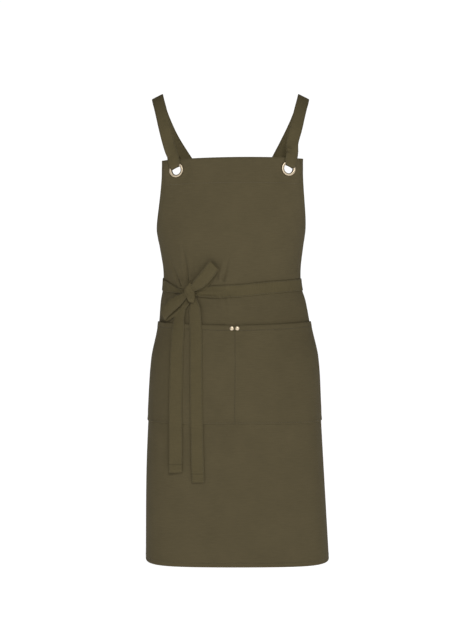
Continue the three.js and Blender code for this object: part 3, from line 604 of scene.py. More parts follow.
# %% Make the panel
CELL = 5
ARMHOLE_REACH = (SKIRT_WIDTH - BIB_WIDTH) / 2
ARMHOLES = [(hand * SKIRT_WIDTH / 2, 0, ARMHOLE_REACH, ARMHOLE_DEPTH) for hand in (-1, 1)]
CUT_EASE = 1.5
EYELET_CUT = EYELET_MOUTH / 2 + CUT_EASE
HEM_BAND = 10
HEM_DOUBLING = 0.8
FINE_ACROSS = (-180, 0)
FINE_DOWN = (190, 365)
EYELET_HOLES = [(hand * EYELET_ACROSS, EYELET_DROP, EYELET_CUT, EYELET_CUT) for hand in (-1, 1)]


def places(low, high, hems):
    """Grid lines about a cell apart, with closer ones beside a hem at each end."""
    inner = np.linspace(low + hems, high - hems, round((high - low - 2 * hems) / CELL) + 1)
    close = np.linspace(0, hems, 5)[:-1]
    return np.concatenate([low + close, inner, (high - close)[::-1]])


def turned_edge(across, down):
    """Millimetres to the panel's nearest turned edge, other than the bib's top edge."""
    edges = [SKIRT_WIDTH / 2 - np.abs(across), PANEL_LENGTH - down]
    edges += [cut_distance(across, down, cut) for cut in ARMHOLES]
    return np.minimum.reduce(edges)


def panel_layers(across, down):
    edge = np.minimum(turned_edge(across, down), down)
    hem = 1 - step_between(edge, SIDE_HEM - 1, SIDE_HEM + 2)
    below_bib = step_between(down, ARMHOLE_DEPTH * 0.3, ARMHOLE_DEPTH * 0.5)
    return np.zeros_like(across), -TWILL * (1 + HEM_DOUBLING * hem * below_bib)


def panel_numbers(across, down):
    turned = turned_edge(across, down)
    on_bib = np.abs(across) < BIB_WIDTH / 2 + 10
    seam = np.where(on_bib, np.abs(down - FACING_DEPTH), FAR)
    return {"edge": np.minimum(turned, down), "stitch": turned - SIDE_HEM, "seam": seam}


def halved(values, low, high):
    """Grid lines, with one more halfway between any two that lie in a range."""
    between = (values[1:] + values[:-1]) / 2
    return np.sort(np.concatenate([values, between[(between > low) & (between < high)]]))


skirt_rows = np.arange(0, PANEL_LENGTH - 2 * HEM_BAND, CELL)
hem_rows = np.linspace(PANEL_LENGTH - HEM_BAND, PANEL_LENGTH, 5)
panel = cloth_sheet(
    "apron_cloth",
    halved(places(-SKIRT_WIDTH / 2, SKIRT_WIDTH / 2, HEM_BAND), *FINE_ACROSS),
    halved(np.concatenate([skirt_rows, hem_rows]), *FINE_DOWN),
    ARMHOLES + EYELET_HOLES,
    panel_layers,
    panel_numbers,
)
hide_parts("apron_panel")

# %% [markdown]
# ## The facing
# A strip of the same twill is turned in behind the bib's top edge. It carries the eyelets' load and only
# its stitch line shows in front, but it is seen from behind and through the straps.

# %% Make the facing
FACING_HEM = 8
FACING_SEW = 2


def facing_layers(across, down):
    inner = -2 * TWILL - LAYER_GAP
    return np.full_like(across, inner + TWILL), np.full_like(across, inner)


def facing_numbers(across, down):
    edge = np.minimum(BIB_WIDTH / 2 - FACING_INSET - np.abs(across), FACING_DEPTH - down)
    return {"edge": edge, "stitch": FACING_DEPTH - down - FACING_SEW, "seam": np.full_like(across, FAR)}


facing = cloth_sheet(
    "facing_cloth",
    places(-BIB_WIDTH / 2 + FACING_INSET, BIB_WIDTH / 2 - FACING_INSET, FACING_HEM),
    places(0, FACING_DEPTH, FACING_HEM),
    EYELET_HOLES,
    facing_layers,
    facing_numbers,
)
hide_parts("bib_facing")
print("facing of", triangles(facing), "triangles")

# %% [markdown]
# ## The pocket
# A patch pocket is sewn down along its sides, its bottom and the divider, and stands a little proud
# between those seams. Its top edge is turned over 11 mm, stitched, and gapes by less than a millimetre.

# %% Make the pocket
POCKET_HEM = 11
POCKET_SEW = 2.5
POCKET_PUFF = 1.1
PUFF_REACH = 26
POCKET_TURN = 0.35


def pocket_edges(across, down):
    """Millimetres to the pocket's sides, top and bottom."""
    return POCKET_WIDTH / 2 - np.abs(across), down - POCKET_DROP, POCKET_DROP + POCKET_DEPTH - down


def pocket_layers(across, down):
    side, top, bottom = pocket_edges(across, down)
    sewn = np.minimum.reduce([side, bottom, np.abs(across)]) - POCKET_SEW
    puff = POCKET_PUFF * step_between(sewn, 0, PUFF_REACH) * (1 - 0.4 * step_between(top, 0, 90))
    hem = 1 - step_between(top, POCKET_HEM - 1, POCKET_HEM + 1)
    edge_hem = 1 - step_between(np.minimum(side, bottom), POCKET_SEW + 4, POCKET_SEW + 6)
    turned = POCKET_TURN * TWILL * np.maximum(hem, edge_hem)
    outer = LAYER_GAP + TWILL + puff + turned
    return outer, LAYER_GAP + puff * 0.9


def pocket_numbers(across, down):
    side, top, bottom = pocket_edges(across, down)
    divider = np.where(top > POCKET_HEM - 2, np.abs(across), FAR)
    sewn = np.minimum(side, bottom)
    return {
        "edge": np.minimum(sewn, top),
        "stitch": sewn - POCKET_SEW,
        "seam": np.minimum(np.abs(top - POCKET_HEM), divider),
    }


top_rows = POCKET_DROP + np.array([0, 2.5, 5, 8, POCKET_HEM, 14])
middle_rows = np.linspace(POCKET_DROP + 19, POCKET_DROP + POCKET_DEPTH - HEM_BAND, 38)
foot_rows = POCKET_DROP + POCKET_DEPTH - np.array([7.5, 5, 2.5, 0])
pocket = cloth_sheet(
    "pocket_cloth",
    places(-POCKET_WIDTH / 2, POCKET_WIDTH / 2, HEM_BAND),
    np.concatenate([top_rows, middle_rows, foot_rows]),
    [],
    pocket_layers,
    pocket_numbers,
)
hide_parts("pocket")
print("pocket of", triangles(pocket), "triangles")

# %% [markdown]
# ## Tapes
# Straps, ties, loops and tails are all the same folded tape. A tape is a grid of points along and across
# it, thickened to both sides and thinned to nothing at its edges, which rounds them. Lines of the grid
# run closer together there, where the two rows of edge stitching press a shallow groove. One function then
# gives every tape its place and flat size, because they differ only in their middle line.

# %% Make a tape
TAPE_CELLS = 12
ACROSS_TAPE = np.sin(np.linspace(-math.pi / 2, math.pi / 2, TAPE_CELLS + 1))
STITCH_COLUMN = 2
STITCH_PLACE = abs(ACROSS_TAPE[STITCH_COLUMN])
GROOVE = 0.12
GROOVE_WIDTH = 0.05
EDGE_POWER = 9
HEM_THICKENING = 0.55
PLEATS = np.cos(3 * math.pi * ACROSS_TAPE)
tapes = {}


def ways_out(grid):
    """The way out of a tape's face at each point of its grid."""
    along = np.gradient(grid, axis=0)
    aside = np.gradient(grid, axis=1)
    return unit(np.cross(along, aside))


def tape_piece(name, grid, half, hem):
    """A closed tape from its middle surface, with the points and ways of its front."""
    rows = len(grid)
    out = ways_out(grid)
    run = distance_along(grid[:, TAPE_CELLS // 2])
    left = run[-1] - run
    rounding = (1 - np.abs(ACROSS_TAPE) ** EDGE_POWER) ** 0.5
    grooves = GROOVE * np.exp(-(((np.abs(ACROSS_TAPE) - STITCH_PLACE) / GROOVE_WIDTH) ** 2))
    body = (TAPE / 2 * rounding - grooves * (rounding > 0))[None, :] * np.ones((rows, 1))
    if hem:
        doubled = 1 - step_between(left, hem - 1, hem + 1)
        body = body * (1 + HEM_THICKENING * doubled)[:, None]
    front = grid + out * body[..., None]
    back = (grid - out * body[..., None])[:, -2:0:-1]
    ring = np.concatenate([front, back], axis=1)
    sides = ring.shape[1]

    faces = np.roll(tube_faces(rows, sides)[0][:, ::-1], -1, axis=1).tolist()
    end = (rows - 1) * sides
    for k in range(1, TAPE_CELLS):
        other = (sides - k) % sides
        if k == 1:
            faces.append((0, 1, other))
            faces.append((end, end + other, end + 1))
        else:
            faces.append((k - 1, k, other, other + 1))
            faces.append((end + k - 1, end + other + 1, end + other, end + k))
    faces.append((TAPE_CELLS - 1, TAPE_CELLS, TAPE_CELLS + 1))
    faces.append((end + TAPE_CELLS - 1, end + TAPE_CELLS + 1, end + TAPE_CELLS))

    places_round = np.concatenate([ACROSS_TAPE, ACROSS_TAPE[-2:0:-1]])
    aside = np.broadcast_to(places_round, (rows, sides)) * TAPE_WIDTH / 2
    flat = np.stack([aside, np.broadcast_to(run[:, None], (rows, sides))], axis=-1).reshape(-1, 2)
    edge = (1 - np.abs(places_round))[None, :] * np.asarray(half)[:, None]
    inset = (1 - STITCH_PLACE) * TAPE_WIDTH / 2
    seam = np.broadcast_to(np.abs(left - hem)[:, None] if hem else FAR, (rows, sides))
    piece = new_piece(
        name,
        ring.reshape(-1, 3),
        faces,
        flat,
        edge=edge.ravel(),
        stitch=(edge - inset).ravel(),
        seam=np.array(seam).ravel(),
    )
    return piece, front, out


def add_tape(name, node, grid, half, held="stretched", length=None, width=TAPE_WIDTH, hem=0.0):
    """Put a tape in its node's place. hem is the length of a doubled end, and the tape is as
    long as its middle line where no length is given."""
    piece, front, out = tape_piece(name, grid, half, hem)
    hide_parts(node)
    if length is None:
        length = np.linalg.norm(np.diff(grid[:, TAPE_CELLS // 2], axis=0), axis=1).sum()
    width * MM
    length * MM
    tapes[name] = (piece, front, out)
    print(name, "is", round(length), "mm long, of", triangles(piece), "triangles")


def nearness(distance, reach):
    """How near each row of a tape's grid is: 1 at no distance and almost 0 at twice the reach."""
    return np.exp(-((distance / reach) ** 2))[:, None]


print("tape of", TAPE_CELLS, "cells across", TAPE_WIDTH, "mm")

# %% [markdown]
# ## The shoulder straps
# Each strap comes down from the shoulder in front of the bib, goes in through its eyelet and up again
# behind, where it is sewn to itself. In the hole it bunches together, so its edges curl away from its
# middle. Behind the shoulders the two straps cross and run to the opposite corners of the skirt.

# %% Set the strap's turn through the eyelet
STRAP_TURN = table(
    "middle_up middle_out edge_up edge_out twist aside half",
    (4.6, -0.03, 4.6, -0.03, 0, 0, 1),
    (3.4, -0.28, 3.4, -0.28, 0, 0, 1),
    (2.4, -0.7, 2.4, -0.7, 0, 0, 1),
    (1.55, -0.76, 1.45, -0.76, 0.04, 0, 0.98),
    (0.98, -0.74, 0.9, -0.76, 0.1, 0.04, 0.84),
    (0.7, -0.6, 0.64, -0.66, 0.15, 0.08, 0.67),
    (0.54, -0.3, 0.5, -0.4, 0.17, 0.1, 0.61),
    (0.5, -0.06, 0.47, -0.08, 0.18, 0.1, 0.61),
    (0.53, 0.16, 0.5, 0.2, 0.18, 0.1, 0.63),
    (0.72, 0.38, 0.66, 0.42, 0.17, 0.08, 0.76),
    (1.02, 0.48, 0.94, 0.48, 0.13, 0.04, 0.91),
    (1.55, 0.48, 1.48, 0.48, 0.07, 0, 0.99),
    (2.4, 0.44, 2.4, 0.44, 0, 0, 1),
    (3.4, 0.28, 3.4, 0.28, 0, 0, 1),
)
STRAP_LEAN = math.radians(12)
TURN_STEPS = 5


def turned(vector, axis, angle):
    """A vector turned about an axis."""
    along = axis * (axis @ vector)
    return along + (vector - along) * math.cos(angle) + np.cross(axis, vector) * math.sin(angle)


def strap_turn(side):
    """The strap's grid where it runs through its eyelet."""
    hand = -1 if side == "left" else 1
    _, centre, _, fall, out = EYELETS[side]
    up = turned(-fall, out, -hand * STRAP_LEAN)
    across = np.cross(out, up)
    row = finer(STRAP_TURN, TURN_STEPS)
    bend = ACROSS_TAPE**2
    hole = EYELET_HOLE / 2
    rise = row["middle_up"][:, None] + (row["edge_up"] - row["middle_up"])[:, None] * bend
    rise = rise + hand * row["twist"][:, None] * ACROSS_TAPE
    stand = row["middle_out"][:, None] + (row["edge_out"] - row["middle_out"])[:, None] * bend
    aside = row["half"][:, None] * ACROSS_TAPE * TAPE_WIDTH / 2 - hand * hole * row["aside"][:, None]
    grid = centre + hole * rise[..., None] * up + hole * stand[..., None] * out
    return grid + aside[..., None] * across, row["half"], out


print("strap turns through the eyelet in", len(strap_turn("left")[0]), "rows")

# %% [markdown]
# The rest of the strap follows a smooth line through points over the shoulder and down the back. A Bezier
# curve with a bevel could do it, but the tape must also lie flat all the way, so a second line carries
# the way it faces.

# %% Run the straps over the shoulders
SHOULDER_SPAN = 338
STRAP_SWAY = -4.5
BACK_TURN = 0.5
BACK_STEPS = 9
CROSSING_EASE = (0.85, 2.6)
TIE_END_INSET = 24
CORNER_DOWN = TIE_DROP - 1.05 * TAPE_WIDTH
STRAP_ROW = 4
STRAP_ROUTE = table(
    "out reach drop facing tilt",
    (0.815, -0.605, 0.78, 4, -0.2),
    (0.868, -0.56, 0.55, 15, 0),
    (0.922, -0.44, 0.3, 35, 0.2),
    (0.968, -0.27, 0.11, 58, 0.4),
    (0.99, -0.09, 0.015, 80, 0.5),
    (1.0, 0.09, 0.005, 98, 0.5),
    (0.985, 0.29, 0.08, 122, 0.4),
    (0.93, 0.5, 0.26, 145, 0.3),
    (0.8, 0.7, 0.56, 165, 0.15),
)


def curve_through(points, count):
    """Places on a smooth line through points, whose bends keep even where the points are uneven."""
    ends = [2 * points[0] - points[1], *points, 2 * points[-1] - points[-2]]
    line = []
    for share in np.linspace(0, len(points) - 1, count):
        k = min(int(share), len(points) - 2)
        t = share - k
        a, b, c, d = ends[k : k + 4]
        one, two, three = [max(np.linalg.norm(q - p), 1e-6) ** 0.5 for p, q in ((a, b), (b, c), (c, d))]
        start = ((b - a) / one - (c - a) / (one + two) + (c - b) / two) * two
        end = ((c - b) / two - (d - b) / (two + three) + (d - c) / three) * two
        cubic = 2 * b - 2 * c + start + end
        square = 3 * c - 3 * b - 2 * start - end
        line.append(b + start * t + square * t * t + cubic * t**3)
    return np.array(line)


def back_run(hand, share):
    """The strap's place on the back, by its share of the way to the opposite corner, and its way out."""
    down = np.array([CORNER_DOWN])
    turn = math.pi - wrap_angle(np.array([SKIRT_WIDTH / 2 - TIE_END_INSET]), section(down))[0]
    turn = hand * BACK_TURN + share * (-hand * turn - hand * BACK_TURN)
    angle = np.array([math.pi * (1 if turn >= 0 else -1) - turn])
    level = np.array([share * CORNER_DOWN])
    side = surface_point(angle + PROBE_TURN, level) - surface_point(angle - PROBE_TURN, level)
    fall = surface_point(angle, level + PROBE) - surface_point(angle, level - PROBE)
    return surface_point(angle, level)[0], unit(np.cross(fall, side))[0]


def strap_run(side, start, first_face):
    """The strap's grid from its turn over the shoulder to the skirt's corner."""
    hand = -1 if side == "left" else 1
    middles = [start]
    faces = [first_face]
    for out, reach, drop, angle, tilt in zip(*STRAP_ROUTE.values()):
        length = FRONT_REACH if reach < 0 else BACK_REACH
        aside = hand * out * SHOULDER_SPAN / 2 + STRAP_SWAY
        middles.append(np.array([aside, reach * length, -drop * SHOULDER_DROP]))
        angle = math.radians(angle)
        faces.append(unit(np.array([hand * tilt, -math.cos(angle), math.sin(angle)])))
    crossing, _ = back_run(hand, 0.5)
    for k in range(BACK_STEPS + 1):
        point, out = back_run(hand, k / BACK_STEPS)
        away = np.linalg.norm(point - crossing) / TAPE_WIDTH
        lift = (TAPE + 2 * LAYER_GAP) * (1 - step_between(away, *CROSSING_EASE)) if hand > 0 else 0
        middles.append(point + out * (LYING_OUT + lift))
        faces.append(out)
    length = sum(np.linalg.norm(b - a) for a, b in zip(middles, middles[1:]))
    count = round(length / STRAP_ROW)
    line = curve_through(middles, count)
    face = curve_through(faces, count)
    across = unit(np.cross(face, np.gradient(line, axis=0)))
    return line[1:, None] + across[1:, None] * ACROSS_TAPE[None, :, None] * TAPE_WIDTH / 2


for side in ("left", "right"):
    turn, half, first_face = strap_turn(side)
    run = strap_run(side, turn[-1, TAPE_CELLS // 2], first_face)
    grid = np.concatenate([turn, run])
    half = np.concatenate([half, np.ones(len(run))]) * TAPE_WIDTH / 2
    add_tape("strap_" + side, "shoulder_strap_" + side, grid, half)

# %% [markdown]
# ## The waist ties
# From the side loops the ties lie on the cloth and run up to the knot, where they narrow as the knot
# gathers them. The right one dips a little in the middle, and by the knot its lower edge folds over.

# %% Lay the waist ties
KNOT_ACROSS = -97
KNOT_DROP = 301.5
RIGHT_TIE = table(
    "across raise_by out half",
    (1, 1.05, 1.8, 1),
    (0.92, 1.02, 1.6, 1),
    (0.84, 0.75, 0.12, 1),
    (0.68, 0.36, 0.12, 1),
    (0.38, 0.2, 0.12, 1),
    (0.24, 0.03, 0.12, 1),
    (0.12, -0.07, 0.12, 0.98),
    (0.05, -0.14, 0.3, 0.75),
    (0, -0.2, 0.8, 0.45),
)
LEFT_TIE = table(
    "across raise_by out half",
    (1, 1.05, 1.8, 1),
    (0.87, 1.02, 1.6, 1),
    (0.75, 0.8, 0.12, 1),
    (0.55, 0.52, 0.12, 1),
    (0.4, 0.36, 0.12, 1),
    (0.28, 0.17, 0.3, 0.94),
    (0.2, 0.06, 0.6, 0.7),
    (0.13, -0.08, 0.8, 0.5),
    (0.08, -0.17, 0.8, 0.38),
    (0, -0.24, 0.8, 0.32),
)
TIE_ROW = 4
TIE_GATHER = 26
TIE_PLEAT = 0.9
TIE_FOLD = 3.6
TIE_FOLD_AT = 50


def lying_grid(across, down, out, half, relief):
    """A tape's grid on the wrapped cloth, from its middle's flat places and half its width. relief is
    how far each point of it stands off the rest."""
    way = unit(np.stack([np.gradient(across), np.gradient(down)], axis=-1))
    aside = half[:, None] * ACROSS_TAPE
    point, face = lay(across[:, None] + aside * way[:, 1:], down[:, None] - aside * way[:, :1])
    return point + face * (out[:, None] + relief)[..., None]


def waist_tie(side, rows):
    hand = -1 if side == "left" else 1
    reach = hand * (SKIRT_WIDTH / 2 - TIE_END_INSET / 4) - KNOT_ACROSS
    share = np.linspace(1, 0, round(abs(reach) / TIE_ROW) + 1)
    row = smooth(rows, "across", share)
    half = row["half"] * TAPE_WIDTH / 2
    relief = TIE_PLEAT * nearness(share * abs(reach), TIE_GATHER) * PLEATS
    if hand > 0:
        near = nearness(share * abs(reach) - TIE_FOLD_AT, TIE_GATHER)
        lower_edge = step_between(ACROSS_TAPE, 0.45, 0.85)
        upper_roll = np.exp(-(((ACROSS_TAPE - 0.1) / 0.3) ** 2))
        relief = relief + near * (TIE_FOLD * lower_edge + 0.5 * TIE_FOLD * upper_roll)
    across = KNOT_ACROSS + share * reach
    down = TIE_DROP - row["raise_by"] * TAPE_WIDTH
    return lying_grid(across, down, LYING_OUT + row["out"] * TAPE, half, relief), half


for side, rows in (("left", LEFT_TIE), ("right", RIGHT_TIE)):
    add_tape("tie_" + side, "waist_tie_" + side, *waist_tie(side, rows))

# %% [markdown]
# ## The bow
# Each loop of the bow leaves the knot gathered, opens to the tape's full width and comes back behind
# itself. Its front layer bulges out from the cloth, so light catches the upper edge and the loop throws
# a soft shadow under the lower one.

# %% Tie the bow's loops
LOOP_BULGE = 17
LOOP_GATHER = 24
LOOP_PLEAT = 1.1
LOOP_CUP = 1.6
LOOPS = table("length turn skew", (87, 47.5, 0.12), (90, 216, 0))
BOW_LOOP = table(
    "along out upper lower half",
    (0.0, 0.62, 0, 0, 0.42),
    (0.16, 0.8, 0.1, -0.06, 0.54),
    (0.36, 1, 0.2, -0.08, 0.88),
    (0.6, 1, 0.18, -0.06, 1),
    (0.82, 0.9, 0.12, -0.06, 1),
    (0.95, 0.8, 0.06, -0.08, 1),
    (1.0, 0.68, 0.05, -0.1, 1),
    (0.95, 0.5, 0.07, -0.14, 1),
    (0.82, 0.4, 0.13, -0.2, 1),
    (0.6, 0.34, 0.28, -0.27, 0.98),
    (0.36, 0.32, 0.34, -0.27, 0.86),
    (0.16, 0.32, 0.24, -0.14, 0.54),
    (0.0, 0.32, 0, 0, 0.42),
)
LOOP_STEPS = 5


def bow_loop(column, length, turn, skew):
    """A loop's grid, along a way that turns from across towards up. Its end slants by its skew."""
    angle = math.radians(turn)
    way = np.array([math.cos(angle), -math.sin(angle)])
    side = np.array([-way[1], way[0]])
    row = finer(BOW_LOOP, LOOP_STEPS)
    aside = row[column] * TAPE_WIDTH
    across = KNOT_ACROSS + row["along"] * length * way[0] + aside * side[0]
    down = KNOT_DROP + row["along"] * length * way[1] + aside * side[1]
    half = row["half"] * TAPE_WIDTH / 2
    offset = half[:, None] * ACROSS_TAPE
    skew = skew * (row["along"] ** 2)[:, None]
    point, face = lay(
        across[:, None] + offset * (way[1] + skew * way[0]),
        down[:, None] + offset * (skew * way[1] - way[0]),
    )
    near = nearness(row["along"] * length, LOOP_GATHER)
    relief = LOOP_PLEAT * near * PLEATS - LOOP_CUP * (1 - near) * ACROSS_TAPE**2
    stand = np.maximum((row["out"] * LOOP_BULGE)[:, None] + relief, LYING_OUT)
    return point + face * stand[..., None], half


for side, length, turn, skew in zip(("upper", "lower"), *LOOPS.values()):
    grid, half = bow_loop(side, length, turn, skew)
    add_tape("bow_" + side, "bow_loop_" + side, grid, half, held="folded")

# %% [markdown]
# ## The hanging ends
# Both ends come out from under the knot, swing aside and hang straight. Each is turned up 18 mm at its
# foot and stitched across, so the last stretch is double.

# %% Hang the two ends
TAIL_HEM = 18
TAIL_STEPS = 14
TAIL_GATHER = 16
TAILS = {
    "left": (
        378,
        table(
            "down aside out lean half",
            (0, -0.1, 1.6, 0, 0.5),
            (0.02, -0.4, 1.6, 0, 0.7),
            (0.05, -0.86, 1.7, 0, 0.98),
            (0.11, -1.05, 1.8, 0, 1),
            (0.18, -1.08, 3.4, 0.1, 1),
            (0.26, -1.11, 4, 0.15, 1),
            (0.55, -1.13, 4, 0.15, 1),
            (0.78, -1.14, 4, 0.15, 1),
            (1, -1.15, 3.8, 0.15, 1),
        ),
    ),
    "right": (
        399,
        table(
            "down aside out lean half",
            (0, 0.34, 3.2, 0, 0.5),
            (0.02, 0.39, 3.2, 0, 0.66),
            (0.05, 0.4, 3.1, 0, 0.9),
            (0.1, 0.38, 2.6, 0.01, 1),
            (0.3, 0.41, 1.9, 0.02, 1),
            (0.55, 0.46, 1.9, 0.02, 1),
            (0.78, 0.51, 1.9, 0.02, 1),
            (1, 0.56, 1.7, 0.02, 1),
        ),
    ),
}

for side, (length, rows) in TAILS.items():
    row = finer(rows, TAIL_STEPS)
    half = row["half"] * TAPE_WIDTH / 2
    across = KNOT_ACROSS + row["aside"] * TAPE_WIDTH
    down = KNOT_DROP + TAPE_WIDTH / 2 + row["down"] * length
    relief = TIE_PLEAT * nearness(row["down"] * length, TAIL_GATHER) * PLEATS
    relief = relief - row["lean"][:, None] * TAPE_WIDTH * ACROSS_TAPE
    grid = lying_grid(across, down, LYING_OUT + row["out"] * TAPE, half, relief)
    add_tape("tail_" + side, "tie_tail_" + side, grid, half, held="hung", length=length, hem=TAIL_HEM)

# %% [markdown]
# ## The knot
# The knot is one turn of tape pulled tight over the others. It is a closed rounded form, broad in the
# middle and pinched above and below, with shallow ridges that run round it where the tape gathers.

# %% Pull the knot tight
KNOT_HEIGHT = 46
KNOT_WIDTH = 26
KNOT_DEPTH = 15
KNOT_SIDES = 48
KNOT_SQUARE = 0.7
KNOT_FLAT = 0.55
RIDGE = 0.4
RIDGE_PITCH = 4.2
KNOT_ROWS = table(
    "up half aside out",
    (-0.5, 0.34, 0.24, 0.5),
    (-0.4, 0.58, 0.22, 0.9),
    (-0.22, 0.8, 0.17, 1),
    (0.05, 0.96, 0.1, 1),
    (0.24, 0.68, 0.17, 1),
    (0.4, 0.36, 0.26, 0.85),
    (0.5, 0.1, 0.3, 0.5),
)
row = finer(KNOT_ROWS, 8)
turn = np.linspace(0, 2 * math.pi, KNOT_SIDES, endpoint=False)
front_share = np.maximum(np.sin(turn), 0)
lengthwise = row["up"][:, None]
slant = lengthwise * 1.6 + 0.62 * np.cos(turn)
ridges = RIDGE * np.cos(RIDGE_PITCH * math.pi * slant) * front_share
round_about = np.sign(np.cos(turn)) * np.abs(np.cos(turn)) ** KNOT_SQUARE
round_out = np.sign(np.sin(turn)) * np.abs(np.sin(turn)) ** KNOT_FLAT
half = row["half"][:, None] * KNOT_WIDTH / 2
depth = row["out"][:, None] * KNOT_DEPTH / 2
across = KNOT_ACROSS + row["aside"][:, None] * KNOT_WIDTH + half * round_about
down = KNOT_DROP - lengthwise * KNOT_HEIGHT + 0 * turn
stand = LAYER_GAP + KNOT_DEPTH / 2 + (depth + ridges) * round_out
point, face = lay(across, down)
ring = point + face * stand[..., None]
quads, index = tube_faces(*ring.shape[:2])
faces = [*quads.tolist(), index[0].tolist(), index[-1][::-1].tolist()]
flat = np.stack([across - KNOT_ACROSS, down], axis=-1).reshape(-1, 2)
plain = np.full(index.size, FAR)
knot = new_piece("knot", ring.reshape(-1, 3), faces, flat, edge=plain, stitch=plain, seam=plain)
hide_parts("bow_knot")
print("knot of", triangles(knot), "triangles")

# %% [markdown]
# ## The side loops
# At each back corner of the skirt a narrow loop of tape bridges the strap's end and the tie, and is sewn
# down above and below them.

# %% Sew on the side loops
SIDE_LOOP_WIDTH = 16
SIDE_LOOP_INSET = TIE_END_INSET * 1.6
OVER = LYING_OUT + 4.65
SIDE_LOOP = table(
    "up out",
    (0.95, LYING_OUT),
    (0.72, LYING_OUT),
    (0.6, OVER),
    (0.3, OVER),
    (0, OVER),
    (-0.3, OVER),
    (-0.6, OVER),
    (-0.72, LYING_OUT),
    (-0.95, LYING_OUT),
)

for side, hand in (("left", -1), ("right", 1)):
    row = finer(SIDE_LOOP, 5)
    middle = hand * (SKIRT_WIDTH / 2 - SIDE_LOOP_INSET)
    down = CORNER_DOWN - row["up"] * TAPE_WIDTH
    aside = ACROSS_TAPE * SIDE_LOOP_WIDTH / 2
    point, face = lay(middle + aside[None, :] + 0 * down[:, None], down[:, None] + 0 * aside[None, :])
    grid = point + face * row["out"][:, None, None]
    half = np.full(len(down), SIDE_LOOP_WIDTH / 2)
    add_tape("loop_" + side, "side_loop_" + side, grid, half, width=SIDE_LOOP_WIDTH)

# %% [markdown]
# ## Eyelets and rivets
# Both are turned metal, so a profile spun about an axis gives their true form. The flange of an eyelet is
# a soft round ring that rolls into the hole, and a rivet's cap is a low dome. A number on each vertex
# says how pale the brass is: bright where the crowns are rubbed, and brown where polish never reaches,
# which is patina in the hollows and painted dark reflection at the flange's and the cap's edges.

# %% Turn the brass fittings
EYELET_WALL = 1.2
RIM_SPREAD = 0.6
EYELET_RIM = EYELET_OUTER / 2 + RIM_SPREAD
FLANGE = 2.1
RIVET_CAP = 10
RIVET_RISE = 2.2
RIVET_SHANK = 1.5
RIVET_PITCH = 12
RIVET_DROP = 6.5
METAL_GAP = 0.3
TURNED_SIDES = 64


def turned_piece(name, profile, place):
    """A spun profile of radius, distance out and a share of wear and painted dark reflection, set on a
    frame of the cloth.
    """
    centre, side, fall, out = place
    radius, stand, wear_and_reflection_share = np.array(profile, float).T
    turn = np.linspace(0, 2 * math.pi, TURNED_SIDES, endpoint=False)
    circle = np.cos(turn)[:, None] * side + np.sin(turn)[:, None] * fall
    ring = centre + radius[:, None, None] * circle + stand[:, None, None] * out
    quads, index = tube_faces(len(radius), TURNED_SIDES)
    if np.allclose(profile[0][:2], profile[-1][:2]):
        ring = ring[:-1]
        wear_and_reflection_share = wear_and_reflection_share[:-1]
        faces = (quads % index[-1, 0]).tolist()
    else:
        faces = [*quads.tolist(), index[0].tolist(), index[-1][::-1].tolist()]
    flat = np.zeros((len(ring) * TURNED_SIDES, 2))
    piece = new_piece(name, ring.reshape(-1, 3), faces, flat, worn=np.repeat(wear_and_reflection_share, TURNED_SIDES))
    return piece


def arc(centre, size, start, end, count, low, high):
    """Points of a profile on part of an ellipse, with a share of wear and painted dark reflection from low
    to high at its crown.
    """
    found = []
    for angle in np.radians(np.linspace(start, end, count)):
        crown = max(math.sin(angle), 0)
        at = (centre[0] + size[0] * math.cos(angle), centre[1] + size[1] * math.sin(angle))
        found.append((*at, low + (high - low) * crown**1.5))
    return found


hole = EYELET_MOUTH / 2
back = -2 * TWILL - LAYER_GAP - METAL_GAP
washer = back - 0.7 * FLANGE
ring_middle = ((EYELET_RIM + hole) / 2, METAL_GAP)
ring_size = ((EYELET_RIM - hole) / 2, FLANGE)
washer_rim = EYELET_RIM - 0.8 * FLANGE
# Third numbers: pale on the rubbed crown, and brown at the flange's edges as painted dark reflection and
# in the hollows as patina.
eyelet_profile = [
    (hole, washer, 0.2),
    (washer_rim - 0.1 * FLANGE, washer, 0.5),
    (washer_rim, washer + 0.3, 0.5),
    (washer_rim, back, 0.2),
    (hole + EYELET_WALL, back, 0),
    (hole + EYELET_WALL, METAL_GAP, 0),
    (EYELET_RIM - 0.4, METAL_GAP, 0),
    *arc(ring_middle, ring_size, 0, 180, 15, 0, 1),
    (hole, washer, 0.2),
]
brass_pieces = []
for side, (_, *place) in EYELETS.items():
    eyelet = turned_piece("eyelet_ring_" + side, eyelet_profile, place)
    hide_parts("eyelet_" + side)
    brass_pieces.append(eyelet)

cap = RIVET_CAP / 2
face_out = LAYER_GAP + TWILL + METAL_GAP
behind = -TWILL - METAL_GAP
rivet_profile = [
    (0.05, behind - 0.4 * RIVET_RISE, 0.6),
    (0.8 * cap, behind - 0.4 * RIVET_RISE, 0.5),
    (0.8 * cap, behind, 0.1),
    (RIVET_SHANK, behind, 0),
    (RIVET_SHANK, face_out, 0),
    (0.93 * cap, face_out, 0),
    *arc((0, face_out), (cap, RIVET_RISE), 8, 89, 12, 0.5, 1),
]
for side, hand in (("left", -1), ("right", 1)):
    place = cloth_frame(np.array([hand * RIVET_PITCH / 2]), np.array([float(POCKET_DROP + RIVET_DROP)]))
    rivet = turned_piece("rivet_cap_" + side, rivet_profile, [part[0] for part in place])
    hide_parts("rivet_" + side)
    brass_pieces.append(rivet)
print("eyelets of", triangles(eyelet), "and rivets of", triangles(rivet), "triangles")

# %% [markdown]
# ## The stitching
# A seam is a row of short stitches that sink into the cloth. Bump alone vanishes in a close view, so each
# stitch is a tiny spindle of thread. All the stitches of one piece are one mesh, made in one go by
# placing copies of a small pattern.

